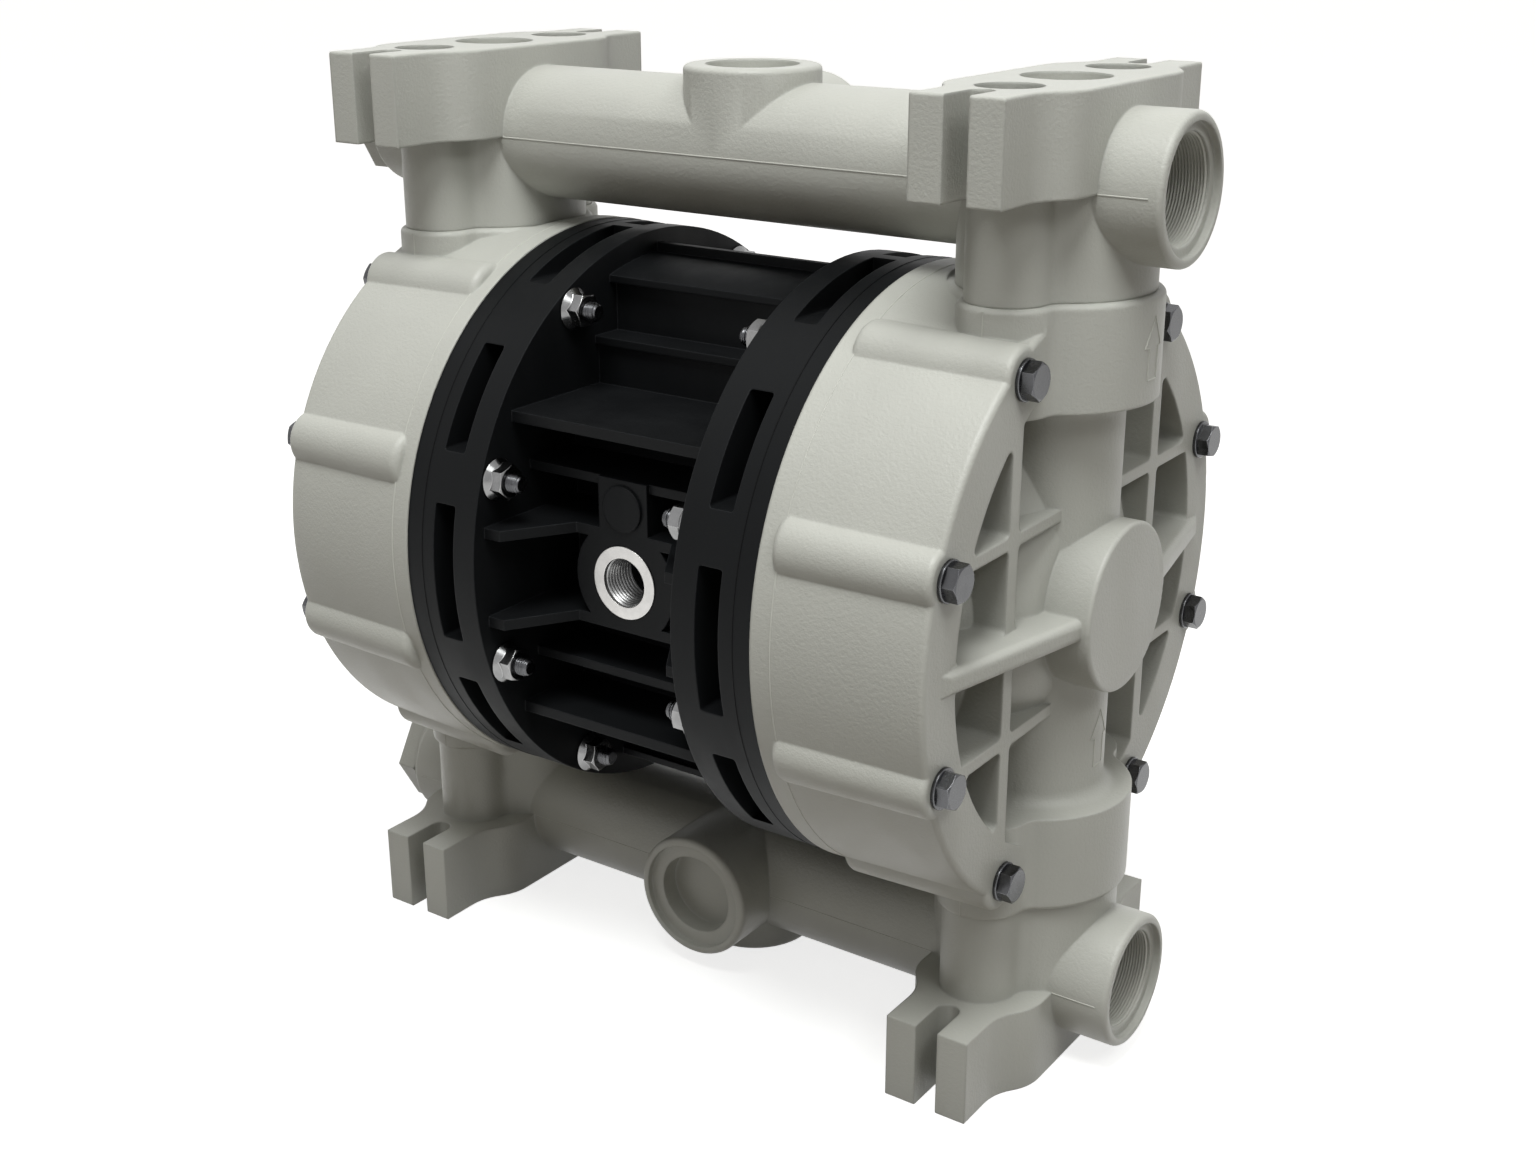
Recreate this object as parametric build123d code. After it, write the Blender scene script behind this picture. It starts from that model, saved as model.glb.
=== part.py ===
from build123d import *
import os
from math import asin, cos, radians, sin, sqrt, tan

# Air operated double diaphragm pump, in millimetres.
# X runs along the diaphragm shaft, the air inlet faces -Y and +Z is up.
# The origin lies on the floor, under the middle of the shaft.

# Overall layout, measured from the middle of the shaft
flange_inner_x = 50.2
joint_x = 87.2
cover_face_x = 160.0
valve_axis_x = 141.4
joint_setback = 2.5
neck_height = 39.5
foot_height = 37.5

# Clearances
bolt_clearance = 0.5
thread_gap = 0.05
seat_gap = 0.3
running_gap = 0.05
slip_gap = 0.3
ring_side_gap = 0.1
ring_floor_gap = 0.05

# Casing screws: hexagon bolts, washers and flange nuts
bolt_circle_r = 116.5
bolt_edge_distance = 10.0
bolt_angles = (30.0, 70.0, 110.0, 150.0)
bolt_r = 4.0
bolt_length = 125.0
bolt_tip_chamfer = 0.7
head_across_flats = 13.0
head_height = 5.3
washer_r = 8.0
washer_bore_r = 4.2
washer_thickness = 1.6
nut_height = 8.0
nut_flange_r = 8.95
nut_flange_thickness = 1.4
nut_flange_rise = 1.8

# Manifold screws
manifold_bolt_y = 44.0
manifold_bolt_length = 60.0
insert_r = 6.5
insert_length = 16.0

# Casing
cover_taper = 2.3
face_edge_r = 2.5
rim_wall = 14.7
pocket_corner_r = 2.5
dome_centre_x = 53.3
dome_rim_step = 8.29
chamber_wall = 7.4
bolt_boss_root_r = 14.2
bolt_boss_face_r = 12.4
bolt_boss_start = 6.5
bolt_boss_end_r = 4.0
upright_rib_y = 61.0
upright_rib_width = 7.2
cross_rib_z = 40.4
cross_rib_width = 5.0
main_rib_width = 9.5
main_rib_rim_step = 12.2
main_rib_rim_height = 2.5
main_rib_boss_height = 17.0
main_rib_crest_r = 3.2
centre_boss_r = 34.5
centre_boss_height = 19.8
centre_boss_edge_r = 1.6
column_r = 29.5
column_bore_r = 19.0
column_blend_r = 6.0

# Collars on the casing and necks on the manifold: a main round with a lobe in front and behind
lobe_y = 38.5
collar_main_r = 41.6
collar_lobe_r = 19.0
collar_height = 41.0
neck_main_r = 38.5
neck_lobe_r = 16.5
lobe_blend_r = 8.0
collar_edge_r = 2.2

# Manifold
tube_r = 28.5
tube_bore_r = 18.0
port_face_x = 194.4
port_edge_r = 2.2
port_lip_r = 24.8
port_lip_depth = 3.0
port_thread_r = 20.955
port_thread_length = 25.0
side_boss_reach = 49.8
side_recess_r = 18.3
side_recess_depth = 9.0
upright_boss_reach = 34.7
upright_recess_r = 19.3
upright_recess_depth = 8.0
foot_half_length = 81.5
foot_prong_half_width = 18.55
foot_waist_half_width = 28.6
foot_sweep_start_y = 64.0
foot_sweep_end_y = 36.0
foot_edge_r = 1.0
slot_width = 10.0
slot_centre_y = 64.7
core_r = 17.2
core_depth = 10.5
screw_pocket_r = 12.6
screw_seat_height = 1.5

# End plug in the unused port
plug_thread_length = 18.0
plug_collar_r = 24.2
plug_collar_height = 4.1
plug_head_corner_r = 25.0
plug_head_height = 10.5
gasket_thickness = 2.0

# Valve stack
ball_r = 20.0
ball_lift = 8.0
seat_contact_r = 17.0
seat_bore_r = 15.5
seat_mouth_r = 18.5
seat_r = 29.5
seat_thickness = 6.0
cage_pocket_r = 27.0
cage_height = 39.5
cage_base_height = 3.0
cage_inner_r = 22.0
cage_rib_width = 5.0
cage_ribs = 4
cage_top_gap = 0.3
seal_section_r = 1.4
seal_groove_width = 3.1
seal_groove_floor_r = 26.5

# Centre block; each shelf has its low face, its high face and its setback from the flange's rim
flange_step = 0.5
window_depth = 18.0
window_start_x = 61.5
window_end_x = 72.5
window_middle_half = 29.5
window_side_low = 50.0
window_side_high = 89.5
window_top_height = 15.8
window_top_bridge_half = 3.5
window_corner_r = 1.2
chamber_wall_x = 62.0
air_chamber_step = 1.5
air_chamber_flare = 12.0
air_chamber_bevel = 8.0
roof_step = 9.5
roof_thickness = 3.0
roof_half_depth = 34.3
ridge_half_width = 1.6
ridge_height = 3.9
shelf_levels = (
    (83.6, 87.1, 81.0),
    (61.7, 66.3, 27.0),
    (39.5, 43.4, 36.7),
)
core_setbacks = (96.0, 83.0, 66.0)
core_overlap = 0.4
gusset_low_z = 17.0
gusset_high_z = 21.5
gusset_step = 7.5
gusset_corner_x = 42.0
gusset_inner_x = 24.5
inlet_setback = 34.9
inlet_boss_r = 25.0
inlet_boss_half_height = 21.0
pad_half_width = 12.4
barrel_r = 32.0
block_wall = 6.0

# Air inlet, exhaust and their channels
inlet_bush_r = 15.5
inlet_bush_length = 20.0
inlet_bush_proud = 0.5
inlet_thread_r = 10.478
inlet_channel_r = 8.0
exhaust_z = 31.5
exhaust_channel_r = 6.0
channel_plug_r = 9.8
channel_plug_proud = 1.3
channel_plug_depth = 8.0
exhaust_boss_r = 20.0
exhaust_thread_r = 8.33
exhaust_thread_length = 12.0
silencer_across_flats = 22.0
silencer_hex_height = 6.0
silencer_r = 10.5
silencer_length = 24.0
silencer_edge_r = 2.0
silencer_end_wall = 6.0
silencer_slot_width = 1.6
silencer_slot_depth = 3.0
silencer_slot_inset = 3.5
silencer_slots = 12

# Air valve around the shaft
valve_bore_r = 24.0
sleeve_half_length = 44.0
sleeve_inner_r = 18.5
spool_half_length = 35.0
spool_travel = 4.0
spool_inner_gap = 0.5
spool_groove_depth = 2.5
spool_land_half = 3.0
spool_end_land = 4.0
port_hole_r = 3.5
feed_hole_x = 12.0
feed_channel_z = 33.0
exhaust_hole_x = 28.0
o_ring_r = 1.2
spool_ring_r = 0.9

# Shaft, plates and diaphragms
shaft_r = 11.0
stroke = 11.0
stud_r = 6.0
stud_engagement = 22.0
inner_plate_thickness = 8.0
plate_r = 60.0
plate_edge_r = 2.5
outer_plate_thickness = 6.0
outer_plate_dome = 6.0
shaft_seal_width = 4.0
shaft_seal_r = 15.0
fluid_diaphragm_thickness = 1.5
backup_diaphragm_thickness = 3.5
bead_step = 6.0
bead_width = 9.0
flex_margin = 2.0
flex_bulge = 9.0

# Sizes that follow from the ones above
cover_joint_r = bolt_circle_r + bolt_edge_distance
cover_face_r = cover_joint_r - cover_taper
flange_r = cover_joint_r - flange_step
pocket_r = bolt_circle_r - rim_wall
dome_r = sqrt((joint_x - dome_centre_x)**2 + (bolt_circle_r - dome_rim_step)**2)
bead_outer_r = bolt_circle_r - bead_step
bead_inner_r = bead_outer_r - bead_width
air_chamber_r = bead_inner_r - air_chamber_step
air_chamber_floor_r = air_chamber_r - air_chamber_flare
window_floor_r = flange_r - window_depth
roof_r = flange_r - roof_step
gusset_wall_y = flange_r - gusset_step
inlet_face_y = flange_r - inlet_setback
manifold_joint_z = cover_joint_r - joint_setback
collar_start_z = manifold_joint_z - collar_height
port_axis_drop = manifold_joint_z + neck_height
axis_height = port_axis_drop + foot_height
head_seat_x = cover_face_x + washer_thickness
bowl_r = dome_r - chamber_wall
clamp_half = (fluid_diaphragm_thickness + backup_diaphragm_thickness) / 2
hub_inner_x = joint_x - clamp_half
hub_outer_x = joint_x + clamp_half
shaft_half_length = hub_inner_x - inner_plate_thickness
seat_inner_z = manifold_joint_z - seat_thickness
cage_pocket_depth = cage_height + slip_gap
contact_height = sqrt(ball_r**2 - seat_contact_r**2)
cone_slope = seat_contact_r / contact_height
contact_depth = (seat_mouth_r - seat_contact_r) * cone_slope
ball_centre_height = contact_height - contact_depth + seat_gap
screw_seat_z = port_axis_drop + screw_seat_height


def rod_x(radius, start, end, y=0.0, z=0.0):
    """A cylinder along X between two X positions."""
    return Pos((start + end) / 2, y, z) * Rot(0, 90, 0) * Cylinder(radius, abs(end - start))


def rod_y(radius, start, end, x=0.0, z=0.0):
    """A cylinder along Y between two Y positions."""
    return Pos(x, (start + end) / 2, z) * Rot(90, 0, 0) * Cylinder(radius, abs(end - start))


def rod_z(radius, start, end, x=0.0, y=0.0):
    """A cylinder along Z between two Z positions."""
    return Pos(x, y, (start + end) / 2) * Cylinder(radius, abs(end - start))


def bar(x_span, y_span, z_span):
    """A box between two corners, each given as a low and a high value."""
    middle = [(span[0] + span[1]) / 2 for span in (x_span, y_span, z_span)]
    return Pos(*middle) * Box(*(span[1] - span[0] for span in (x_span, y_span, z_span)))


def turned_x(points):
    """A solid turned about X from points of x and radius."""
    return revolve(make_face(Polyline(*points, close=True)), Axis.X)


def turned_z(points):
    """A solid turned about Z from points of radius and z."""
    outline = [(radius, 0, z) for radius, z in points]
    return revolve(make_face(Polyline(*outline, close=True)), Axis.Z)


def dome(radius, start):
    """The cap of the chamber's sphere beyond an X position."""
    rim_r = sqrt(radius**2 - (start - dome_centre_x)**2)
    half_turn = asin(rim_r / radius) / 2
    middle = (dome_centre_x + radius * cos(half_turn), radius * sin(half_turn))
    crown = (dome_centre_x + radius, 0)
    outline = ThreePointArc((start, rim_r), middle, crown) + Polyline(crown, (start, 0), (start, rim_r))
    return revolve(make_face(outline), Axis.X)


def mirrored(shape, *planes):
    """A shape together with its mirror images, plane after plane."""
    for plane in planes:
        shape = shape + mirror(shape, plane)
    return shape


def soft_rod_x(radius, start, end, edge_r, y=0.0, z=0.0):
    """A cylinder along X with a rounded edge at its outer end."""
    body = rod_x(radius, start, end, y, z)
    rim = body.faces().sort_by(Axis.X)[-1 if end > start else 0].edges()
    return fillet(rim, edge_r)


def hexagon(across_flats):
    """A hexagon for a bolt head, nut or plug."""
    return RegularPolygon(across_flats / 2, 6, major_radius=False)


def bolt_places():
    """The screw positions on one side, as y and z."""
    for angle in bolt_angles:
        for hand in (-1, 1):
            turn = radians(angle) * hand
            yield bolt_circle_r * sin(turn), bolt_circle_r * cos(turn)


def hex_bolt(length):
    """A hexagon bolt along Z: its head stands on z = 0 and its shank hangs below."""
    head = extrude(hexagon(head_across_flats), head_height)
    corner_r = head_across_flats / 2 / cos(radians(30))
    bevel = (corner_r - head_across_flats / 2) * tan(radians(30))
    trim = turned_z([(0, 0), (corner_r + bevel, 0), (corner_r + bevel, head_height - 2 * bevel),
                     (head_across_flats / 2, head_height), (0, head_height)])
    shank = turned_z([(0, 0.1), (bolt_r, 0.1), (bolt_r, -length + bolt_tip_chamfer),
                      (bolt_r - bolt_tip_chamfer, -length), (0, -length)])
    return (head & trim) + shank


def flat_washer():
    """A washer along Z, lying on z = 0."""
    return rod_z(washer_r, 0, washer_thickness) - rod_z(washer_bore_r, -1, washer_thickness + 1)


def flange_nut():
    """A flange nut along Z: its flange lies on z = 0."""
    flange_top = nut_flange_thickness + nut_flange_rise
    flange = turned_z([(0, 0), (nut_flange_r, 0), (nut_flange_r, nut_flange_thickness),
                       (head_across_flats / 2, flange_top), (0, flange_top)])
    body = extrude(hexagon(head_across_flats), nut_height)
    corner_r = head_across_flats / 2 / cos(radians(30))
    bevel = (corner_r - head_across_flats / 2) * tan(radians(30))
    trim = turned_z([(0, 0), (corner_r + bevel, 0), (corner_r + bevel, nut_height - 2 * bevel),
                     (head_across_flats / 2, nut_height), (0, nut_height)])
    return (body & trim) + flange - rod_z(bolt_r + thread_gap, -1, nut_height + 1)


def o_ring(radius, section_r):
    """A round sealing ring about Z."""
    return Torus(radius, section_r)


def lobed_outline(main_r, lobe_r):
    """The outline of a collar or neck: a round with a lobe on each side, blended."""
    outline = Rot(0, 0, 90) * Circle(main_r)
    outline += Pos(0, lobe_y) * Rot(0, 0, -90) * Circle(lobe_r)
    outline += Pos(0, -lobe_y) * Rot(0, 0, 90) * Circle(lobe_r)
    return fillet(outline.vertices(), lobe_blend_r)


def main_rib():
    """The proud rib at half height: it rises from the rim to the centre boss."""
    rim_x = cover_face_x + main_rib_rim_height
    rim_y = cover_face_r - main_rib_rim_step
    boss_x = cover_face_x + main_rib_boss_height
    half = main_rib_width / 2
    side = Polyline((joint_x + main_rib_width, 0), (joint_x + main_rib_width, pocket_r),
                    (cover_face_x, rim_y), (rim_x, rim_y - 2 * main_rib_rim_height),
                    (boss_x, centre_boss_r - 2), (boss_x, 0), close=True)
    rib = extrude(make_face(side), half, both=True)
    crest = [edge for edge in rib.edges().filter_by(GeomType.LINE)
             if edge.center().X > rim_x and edge.center().Y > centre_boss_r
             and abs(abs(edge.center().Z) - half) < 0.01]
    return mirrored(fillet(crest, main_rib_crest_r), Plane.XZ)


def cover_pockets():
    """The hollows in the casing's face, between its ribs, down to the dome."""
    face = Circle(pocket_r)
    for hand in (-1, 1):
        face -= Pos(hand * upright_rib_y, 0) * Rectangle(upright_rib_width, 2 * pocket_r)
        face -= Pos(0, hand * cross_rib_z) * Rectangle(2 * pocket_r, cross_rib_width)
    face -= Rectangle(2 * pocket_r, main_rib_width)
    face = fillet(face.vertices(), pocket_corner_r)
    hollow = extrude(Plane.YZ.offset(joint_x) * face, cover_face_x - joint_x + 1)
    return hollow - dome(dome_r, joint_x)


def bolt_boss():
    """One screw boss about X: it widens from the casing's face to its rounded root."""
    root_x = joint_x + bolt_boss_start
    boss = turned_x([(root_x, 0), (root_x, bolt_boss_root_r), (cover_face_x, bolt_boss_face_r),
                     (cover_face_x, 0)])
    boss = fillet(boss.faces().sort_by(Axis.X)[0].edges(), bolt_boss_end_r)
    return fillet(boss.faces().sort_by(Axis.X)[-1].edges(), face_edge_r)


def column_blend():
    """The hollow blend about Z between the flow column and the end of the upper collar."""
    low_z = collar_start_z - column_blend_r
    far_r = column_r + column_blend_r
    middle = (far_r - column_blend_r * cos(radians(45)), 0, low_z + column_blend_r * sin(radians(45)))
    outline = ThreePointArc((column_r, 0, low_z), middle, (far_r, 0, collar_start_z))
    outline += Polyline((far_r, 0, collar_start_z), (far_r, 0, collar_start_z + column_blend_r),
                        (0, 0, collar_start_z + column_blend_r), (0, 0, low_z), (column_r, 0, low_z))
    return revolve(make_face(outline), Axis.Z)


def casing():
    """The right hand casing: drum, domed chamber, ribbed face, flow column and collars."""
    drum = turned_x([(joint_x, 0), (joint_x, cover_joint_r), (cover_face_x, cover_face_r), (cover_face_x, 0)])
    drum = fillet(drum.faces().sort_by(Axis.X)[-1].edges(), face_edge_r)
    bosses = [Pos(0, y, z) * bolt_boss() for y, z in bolt_places()]
    centre_boss = soft_rod_x(centre_boss_r, joint_x, cover_face_x + centre_boss_height, centre_boss_edge_r)
    column = rod_z(column_r, -manifold_joint_z + 1, manifold_joint_z - 1, valve_axis_x)
    collar = extrude(lobed_outline(collar_main_r, collar_lobe_r), collar_height)
    collar = fillet(collar.faces().sort_by(Axis.Z)[-1].edges(), collar_edge_r)
    collar = Pos(valve_axis_x, 0, collar_start_z) * collar + Pos(valve_axis_x, 0, 0) * column_blend()
    collars = mirrored(collar, Plane.XY)
    hollows = cover_pockets() - column - collars - centre_boss
    body = drum + bosses - hollows + centre_boss + column + collars + main_rib()
    keep = rod_x(2 * flange_r, joint_x, cover_face_x + 2 * centre_boss_height)
    body = body & keep

    bowl = dome(bowl_r, joint_x + 1)
    cage_floor = seat_inner_z - cage_pocket_depth
    bores = rod_z(column_bore_r, -cage_floor - 1, cage_floor + 1, valve_axis_x)
    groove = turned_x([(0, 0), (0, bead_outer_r + slip_gap), (hub_outer_x, bead_outer_r + slip_gap),
                       (hub_outer_x, 0)])
    ends = rod_z(seat_r + slip_gap, seat_inner_z, manifold_joint_z + 1, valve_axis_x)
    ends += rod_z(cage_pocket_r, cage_floor, manifold_joint_z, valve_axis_x)
    for hand in (-1, 1):
        y = hand * manifold_bolt_y
        ends += rod_z(insert_r, manifold_joint_z - insert_length, manifold_joint_z + 1, valve_axis_x, y)
        tip_z = screw_seat_z + washer_thickness - manifold_bolt_length
        ends += rod_z(bolt_r + bolt_clearance, tip_z - 2, manifold_joint_z, valve_axis_x, y)
    seat_face = extrude(lobed_outline(collar_main_r, collar_lobe_r), joint_setback + 1)
    ends += Pos(valve_axis_x, 0, manifold_joint_z) * seat_face
    ends = mirrored(ends, Plane.XY)
    holes = [rod_x(bolt_r + bolt_clearance, 0, 2 * cover_face_x, y, z) for y, z in bolt_places()]
    return body - bowl - bores - groove - ends - holes


def foot_outline():
    """The plan of one end block: two prongs at each end, swept out to the tube."""
    middle_y = (foot_sweep_start_y + foot_sweep_end_y) / 2
    middle_x = (foot_prong_half_width + foot_waist_half_width) / 2
    start = (foot_prong_half_width, foot_sweep_start_y)
    first = TangentArc(start, (middle_x, middle_y), tangent=(0, -1))
    second = TangentArc((middle_x, middle_y), (foot_waist_half_width, foot_sweep_end_y), tangent=first % 1)
    outline = first + second + Polyline((foot_waist_half_width, foot_sweep_end_y), (foot_waist_half_width, 0),
                                        (0, 0), (0, foot_half_length),
                                        (foot_prong_half_width, foot_half_length), start)
    quarter = make_face(outline)
    return mirrored(quarter, Plane.YZ, Plane.XZ)


def foot_block():
    """One end block, from the tube's middle down to its foot, centred on its own axis."""
    block = extrude(foot_outline(), -foot_height)
    return fillet(block.faces().sort_by(Axis.Z)[0].edges(), foot_edge_r)


def foot_cuts():
    """The open slots, the core and the screw pockets of one end block."""
    below = -foot_height - 1
    slot = rod_z(slot_width / 2, below, 1, 0, slot_centre_y)
    slot += bar((-slot_width / 2, slot_width / 2), (slot_centre_y, foot_half_length + 1), (below, 1))
    pocket = rod_z(screw_pocket_r, below, -screw_seat_height, 0, manifold_bolt_y)
    hole = rod_z(bolt_r + bolt_clearance, below, neck_height + 1, 0, manifold_bolt_y)
    core = rod_z(core_r, below, -foot_height + core_depth)
    return mirrored(slot + pocket + hole, Plane.XZ) + core


def port_cut():
    """The threaded mouth of the right hand port: a lip recess and the thread's bore."""
    lip_floor = port_face_x - port_lip_depth
    return rod_x(port_lip_r, lip_floor, port_face_x + 1) + rod_x(
        port_thread_r, lip_floor - port_thread_length, port_face_x)


def manifold():
    """The bottom manifold, about the middle of the shaft."""
    tube = rod_x(tube_r, -port_face_x, port_face_x)
    tube = fillet(tube.edges().filter_by(GeomType.CIRCLE), port_edge_r)
    side_boss = rod_y(tube_r, -side_boss_reach, 0)
    side_boss = fillet(side_boss.faces().sort_by(Axis.Y)[0].edges(), port_edge_r)
    upright_boss = rod_z(tube_r, -upright_boss_reach, 0)
    upright_boss = fillet(upright_boss.faces().sort_by(Axis.Z)[0].edges(), port_edge_r)
    neck = extrude(lobed_outline(neck_main_r, neck_lobe_r), neck_height)
    body = tube + side_boss + upright_boss
    cuts = rod_x(tube_bore_r, -port_face_x, port_face_x) + mirrored(port_cut(), Plane.YZ)
    cuts += rod_y(port_lip_r, -side_boss_reach - 1, -side_boss_reach + port_lip_depth)
    cuts += rod_y(side_recess_r, -side_boss_reach, -side_boss_reach + port_lip_depth + side_recess_depth)
    cuts += rod_z(upright_recess_r, -upright_boss_reach - 1, -upright_boss_reach + upright_recess_depth)
    for hand in (-1, 1):
        place = Pos(hand * valve_axis_x, 0, 0)
        body += place * (foot_block() + neck)
        cuts += place * (foot_cuts() + rod_z(cage_pocket_r, -slip_gap, neck_height + 1))
    return Pos(0, 0, -port_axis_drop) * (body - cuts)


def end_plug():
    """The hexagonal plug in the left end of the bottom manifold."""
    head_x = port_face_x + plug_collar_height
    collar_x = port_face_x - port_lip_depth + gasket_thickness
    head = Plane.YZ.offset(head_x) * hexagon(2 * plug_head_corner_r * cos(radians(30)))
    head = extrude(head, plug_head_height)
    collar = rod_x(plug_collar_r, collar_x, head_x)
    shank = rod_x(port_thread_r - thread_gap, collar_x - plug_thread_length, collar_x)
    return Pos(0, 0, -port_axis_drop) * mirror(head + collar + shank, Plane.YZ)


def plug_gasket():
    """The gasket under the end plug's collar."""
    floor_x = port_face_x - port_lip_depth
    ring = rod_x(plug_collar_r, floor_x, floor_x + gasket_thickness)
    ring -= rod_x(port_thread_r, floor_x - 1, floor_x + gasket_thickness + 1)
    return Pos(0, 0, -port_axis_drop) * mirror(ring, Plane.YZ)


def valve_seat():
    """A ball seat about Z: its mouth is at z = 0 and the ball sits above."""
    bore_depth = (seat_mouth_r - seat_bore_r) * cone_slope
    middle = -seat_thickness / 2
    half = seal_groove_width / 2
    return turned_z([(seat_mouth_r, 0), (seat_r, 0), (seat_r, middle + half),
                     (seal_groove_floor_r, middle + half), (seal_groove_floor_r, middle - half),
                     (seat_r, middle - half), (seat_r, -seat_thickness), (seat_bore_r, -seat_thickness),
                     (seat_bore_r, -bore_depth)])


def ball_cage():
    """A cage about Z that guides the ball and stops its lift; it stands on the seat."""
    outer_r = cage_pocket_r - slip_gap
    bridge_z = ball_centre_height + ball_r + ball_lift + cage_top_gap
    rib = bar((0, outer_r), (-cage_rib_width / 2, cage_rib_width / 2), (0, cage_height))
    rib -= rod_z(ball_r + 0.4, -1, bridge_z)
    ribs = [Rot(0, 0, 45 + 360 / cage_ribs * i) * rib for i in range(cage_ribs)]
    base = rod_z(outer_r, 0, cage_base_height) - rod_z(cage_inner_r, -1, cage_base_height + 1)
    return (base + ribs) & rod_z(outer_r, 0, cage_height)


def centre_shelves():
    """The roof, shelves and core of the upper front quarter, between the two flanges."""
    reach = flange_inner_x + 1
    span = (-reach, reach)
    roof = rod_x(roof_r, *span) - rod_x(roof_r - roof_thickness, -reach - 1, reach + 1)
    roof &= bar(span, (-roof_half_depth, 0), (0, roof_r + 1))
    shape = roof + bar(span, (-ridge_half_width, 0), (roof_r - roof_thickness, roof_r + ridge_height))
    for low, high, setback in shelf_levels:
        shape += bar(span, (setback - flange_r, 0), (low, high))
    roof_middle_r = roof_r - roof_thickness / 2
    tops = [sqrt(roof_middle_r**2 - (flange_r - core_setbacks[0])**2)]
    tops += [low + core_overlap for low, high, setback in shelf_levels[:2]]
    for top, setback in zip(tops, core_setbacks):
        shape += bar(span, (setback - flange_r, setback - flange_r + block_wall), (0, top))
    shape += bar(span, (-block_wall / 2, 0), (0, roof_middle_r))
    gusset = Polyline((reach, 0), (reach, -gusset_wall_y), (gusset_corner_x, -gusset_wall_y),
                      (gusset_inner_x, -inlet_face_y), (0, -inlet_face_y), (0, 0), close=True)
    plate = extrude(make_face(gusset), gusset_high_z - gusset_low_z)
    return shape + mirrored(Pos(0, 0, gusset_low_z) * plate, Plane.YZ)


def window_cutters():
    """The pockets in one flange's rim, cut level from the front and the back."""
    ring = rod_x(flange_r + 1, window_start_x, window_end_x)
    ring -= rod_x(window_floor_r, window_start_x - 1, window_end_x + 1)
    span = (window_start_x, window_end_x)
    far = flange_r + 2 * window_corner_r
    top_low = flange_r - window_top_height
    openings = []
    for hand in (-1, 1):
        side = (-far, 0) if hand < 0 else (0, far)
        top_side = (-far, -window_top_bridge_half) if hand < 0 else (window_top_bridge_half, far)
        openings.append(bar(span, side, (-window_middle_half, window_middle_half)))
        for low, high in ((window_side_low, window_side_high), (-window_side_high, -window_side_low)):
            openings.append(bar(span, side, (low, high)))
        for low, high in ((top_low, far), (-far, -top_low)):
            openings.append(bar(span, top_side, (low, high)))
    return [ring & fillet(opening.edges().filter_by(Axis.Y), window_corner_r) for opening in openings]


def centre_block():
    """The black block between the casings, with its flanges, shelves, inlet and channels."""
    flange = rod_x(flange_r, flange_inner_x, joint_x)
    bevel_r = air_chamber_bevel / 2
    chamber = turned_x([(joint_x + 1, 0), (joint_x + 1, air_chamber_r), (joint_x, air_chamber_r),
                        (chamber_wall_x + air_chamber_bevel, air_chamber_floor_r + bevel_r),
                        (chamber_wall_x, air_chamber_floor_r - bevel_r), (chamber_wall_x, 0)])
    groove = rod_x(bead_outer_r + slip_gap, hub_inner_x, joint_x + 1)
    flange = flange - window_cutters() - chamber - groove
    body = mirrored(flange, Plane.YZ) + mirrored(centre_shelves(), Plane.XZ, Plane.XY)
    body += rod_x(barrel_r, -chamber_wall_x, chamber_wall_x)
    inlet = rod_y(inlet_boss_r, -inlet_face_y, 0)
    half = inlet_boss_half_height
    body += inlet & bar((-inlet_boss_r, inlet_boss_r), (-inlet_face_y, 0), (-half, half))
    body += bar((-pad_half_width, pad_half_width), (-inlet_face_y, 0), (0, shelf_levels[2][1]))
    body += rod_y(exhaust_boss_r, 0, inlet_face_y, 0, exhaust_z)

    cuts = rod_x(valve_bore_r, -chamber_wall_x - 1, chamber_wall_x + 1)
    bush_end_y = -inlet_face_y - inlet_bush_proud + inlet_bush_length
    cuts += rod_y(inlet_bush_r + running_gap, -inlet_face_y - 1, bush_end_y)
    cuts += rod_y(inlet_channel_r, -inlet_face_y, -valve_bore_r + 2)
    cuts += rod_y(exhaust_channel_r, -inlet_face_y - 1, inlet_face_y, 0, exhaust_z)
    cuts += rod_y(exhaust_thread_r, inlet_face_y - exhaust_thread_length, inlet_face_y + 1, 0, exhaust_z)
    cuts += rod_x(port_hole_r, -exhaust_hole_x, exhaust_hole_x, 0, exhaust_z)
    for hand in (-1, 1):
        cuts += rod_z(port_hole_r, valve_bore_r - 2, exhaust_z, hand * exhaust_hole_x)
        cuts += rod_z(port_hole_r, -feed_channel_z, -valve_bore_r + 2, hand * feed_hole_x)
        cuts += rod_x(port_hole_r, hand * feed_hole_x, hand * (chamber_wall_x + 1), 0, -feed_channel_z)
    holes = [rod_x(bolt_r + bolt_clearance, -joint_x - 1, joint_x + 1, y, z) for y, z in bolt_places()]
    return body - cuts - holes


def air_inlet_bush():
    """The threaded metal bush in the front of the centre block."""
    front = -inlet_face_y - inlet_bush_proud
    return rod_y(inlet_bush_r, front, front + inlet_bush_length) - rod_y(
        inlet_thread_r, front - 1, front + inlet_bush_length + 1)


def channel_plug():
    """The round plug that closes the exhaust channel at the front."""
    head = rod_y(channel_plug_r, -inlet_face_y - channel_plug_proud, -inlet_face_y, 0, exhaust_z)
    head = fillet(head.faces().sort_by(Axis.Y)[0].edges(), channel_plug_proud / 2)
    return head + rod_y(exhaust_channel_r - running_gap, -inlet_face_y, -inlet_face_y + channel_plug_depth,
                        0, exhaust_z)


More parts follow.
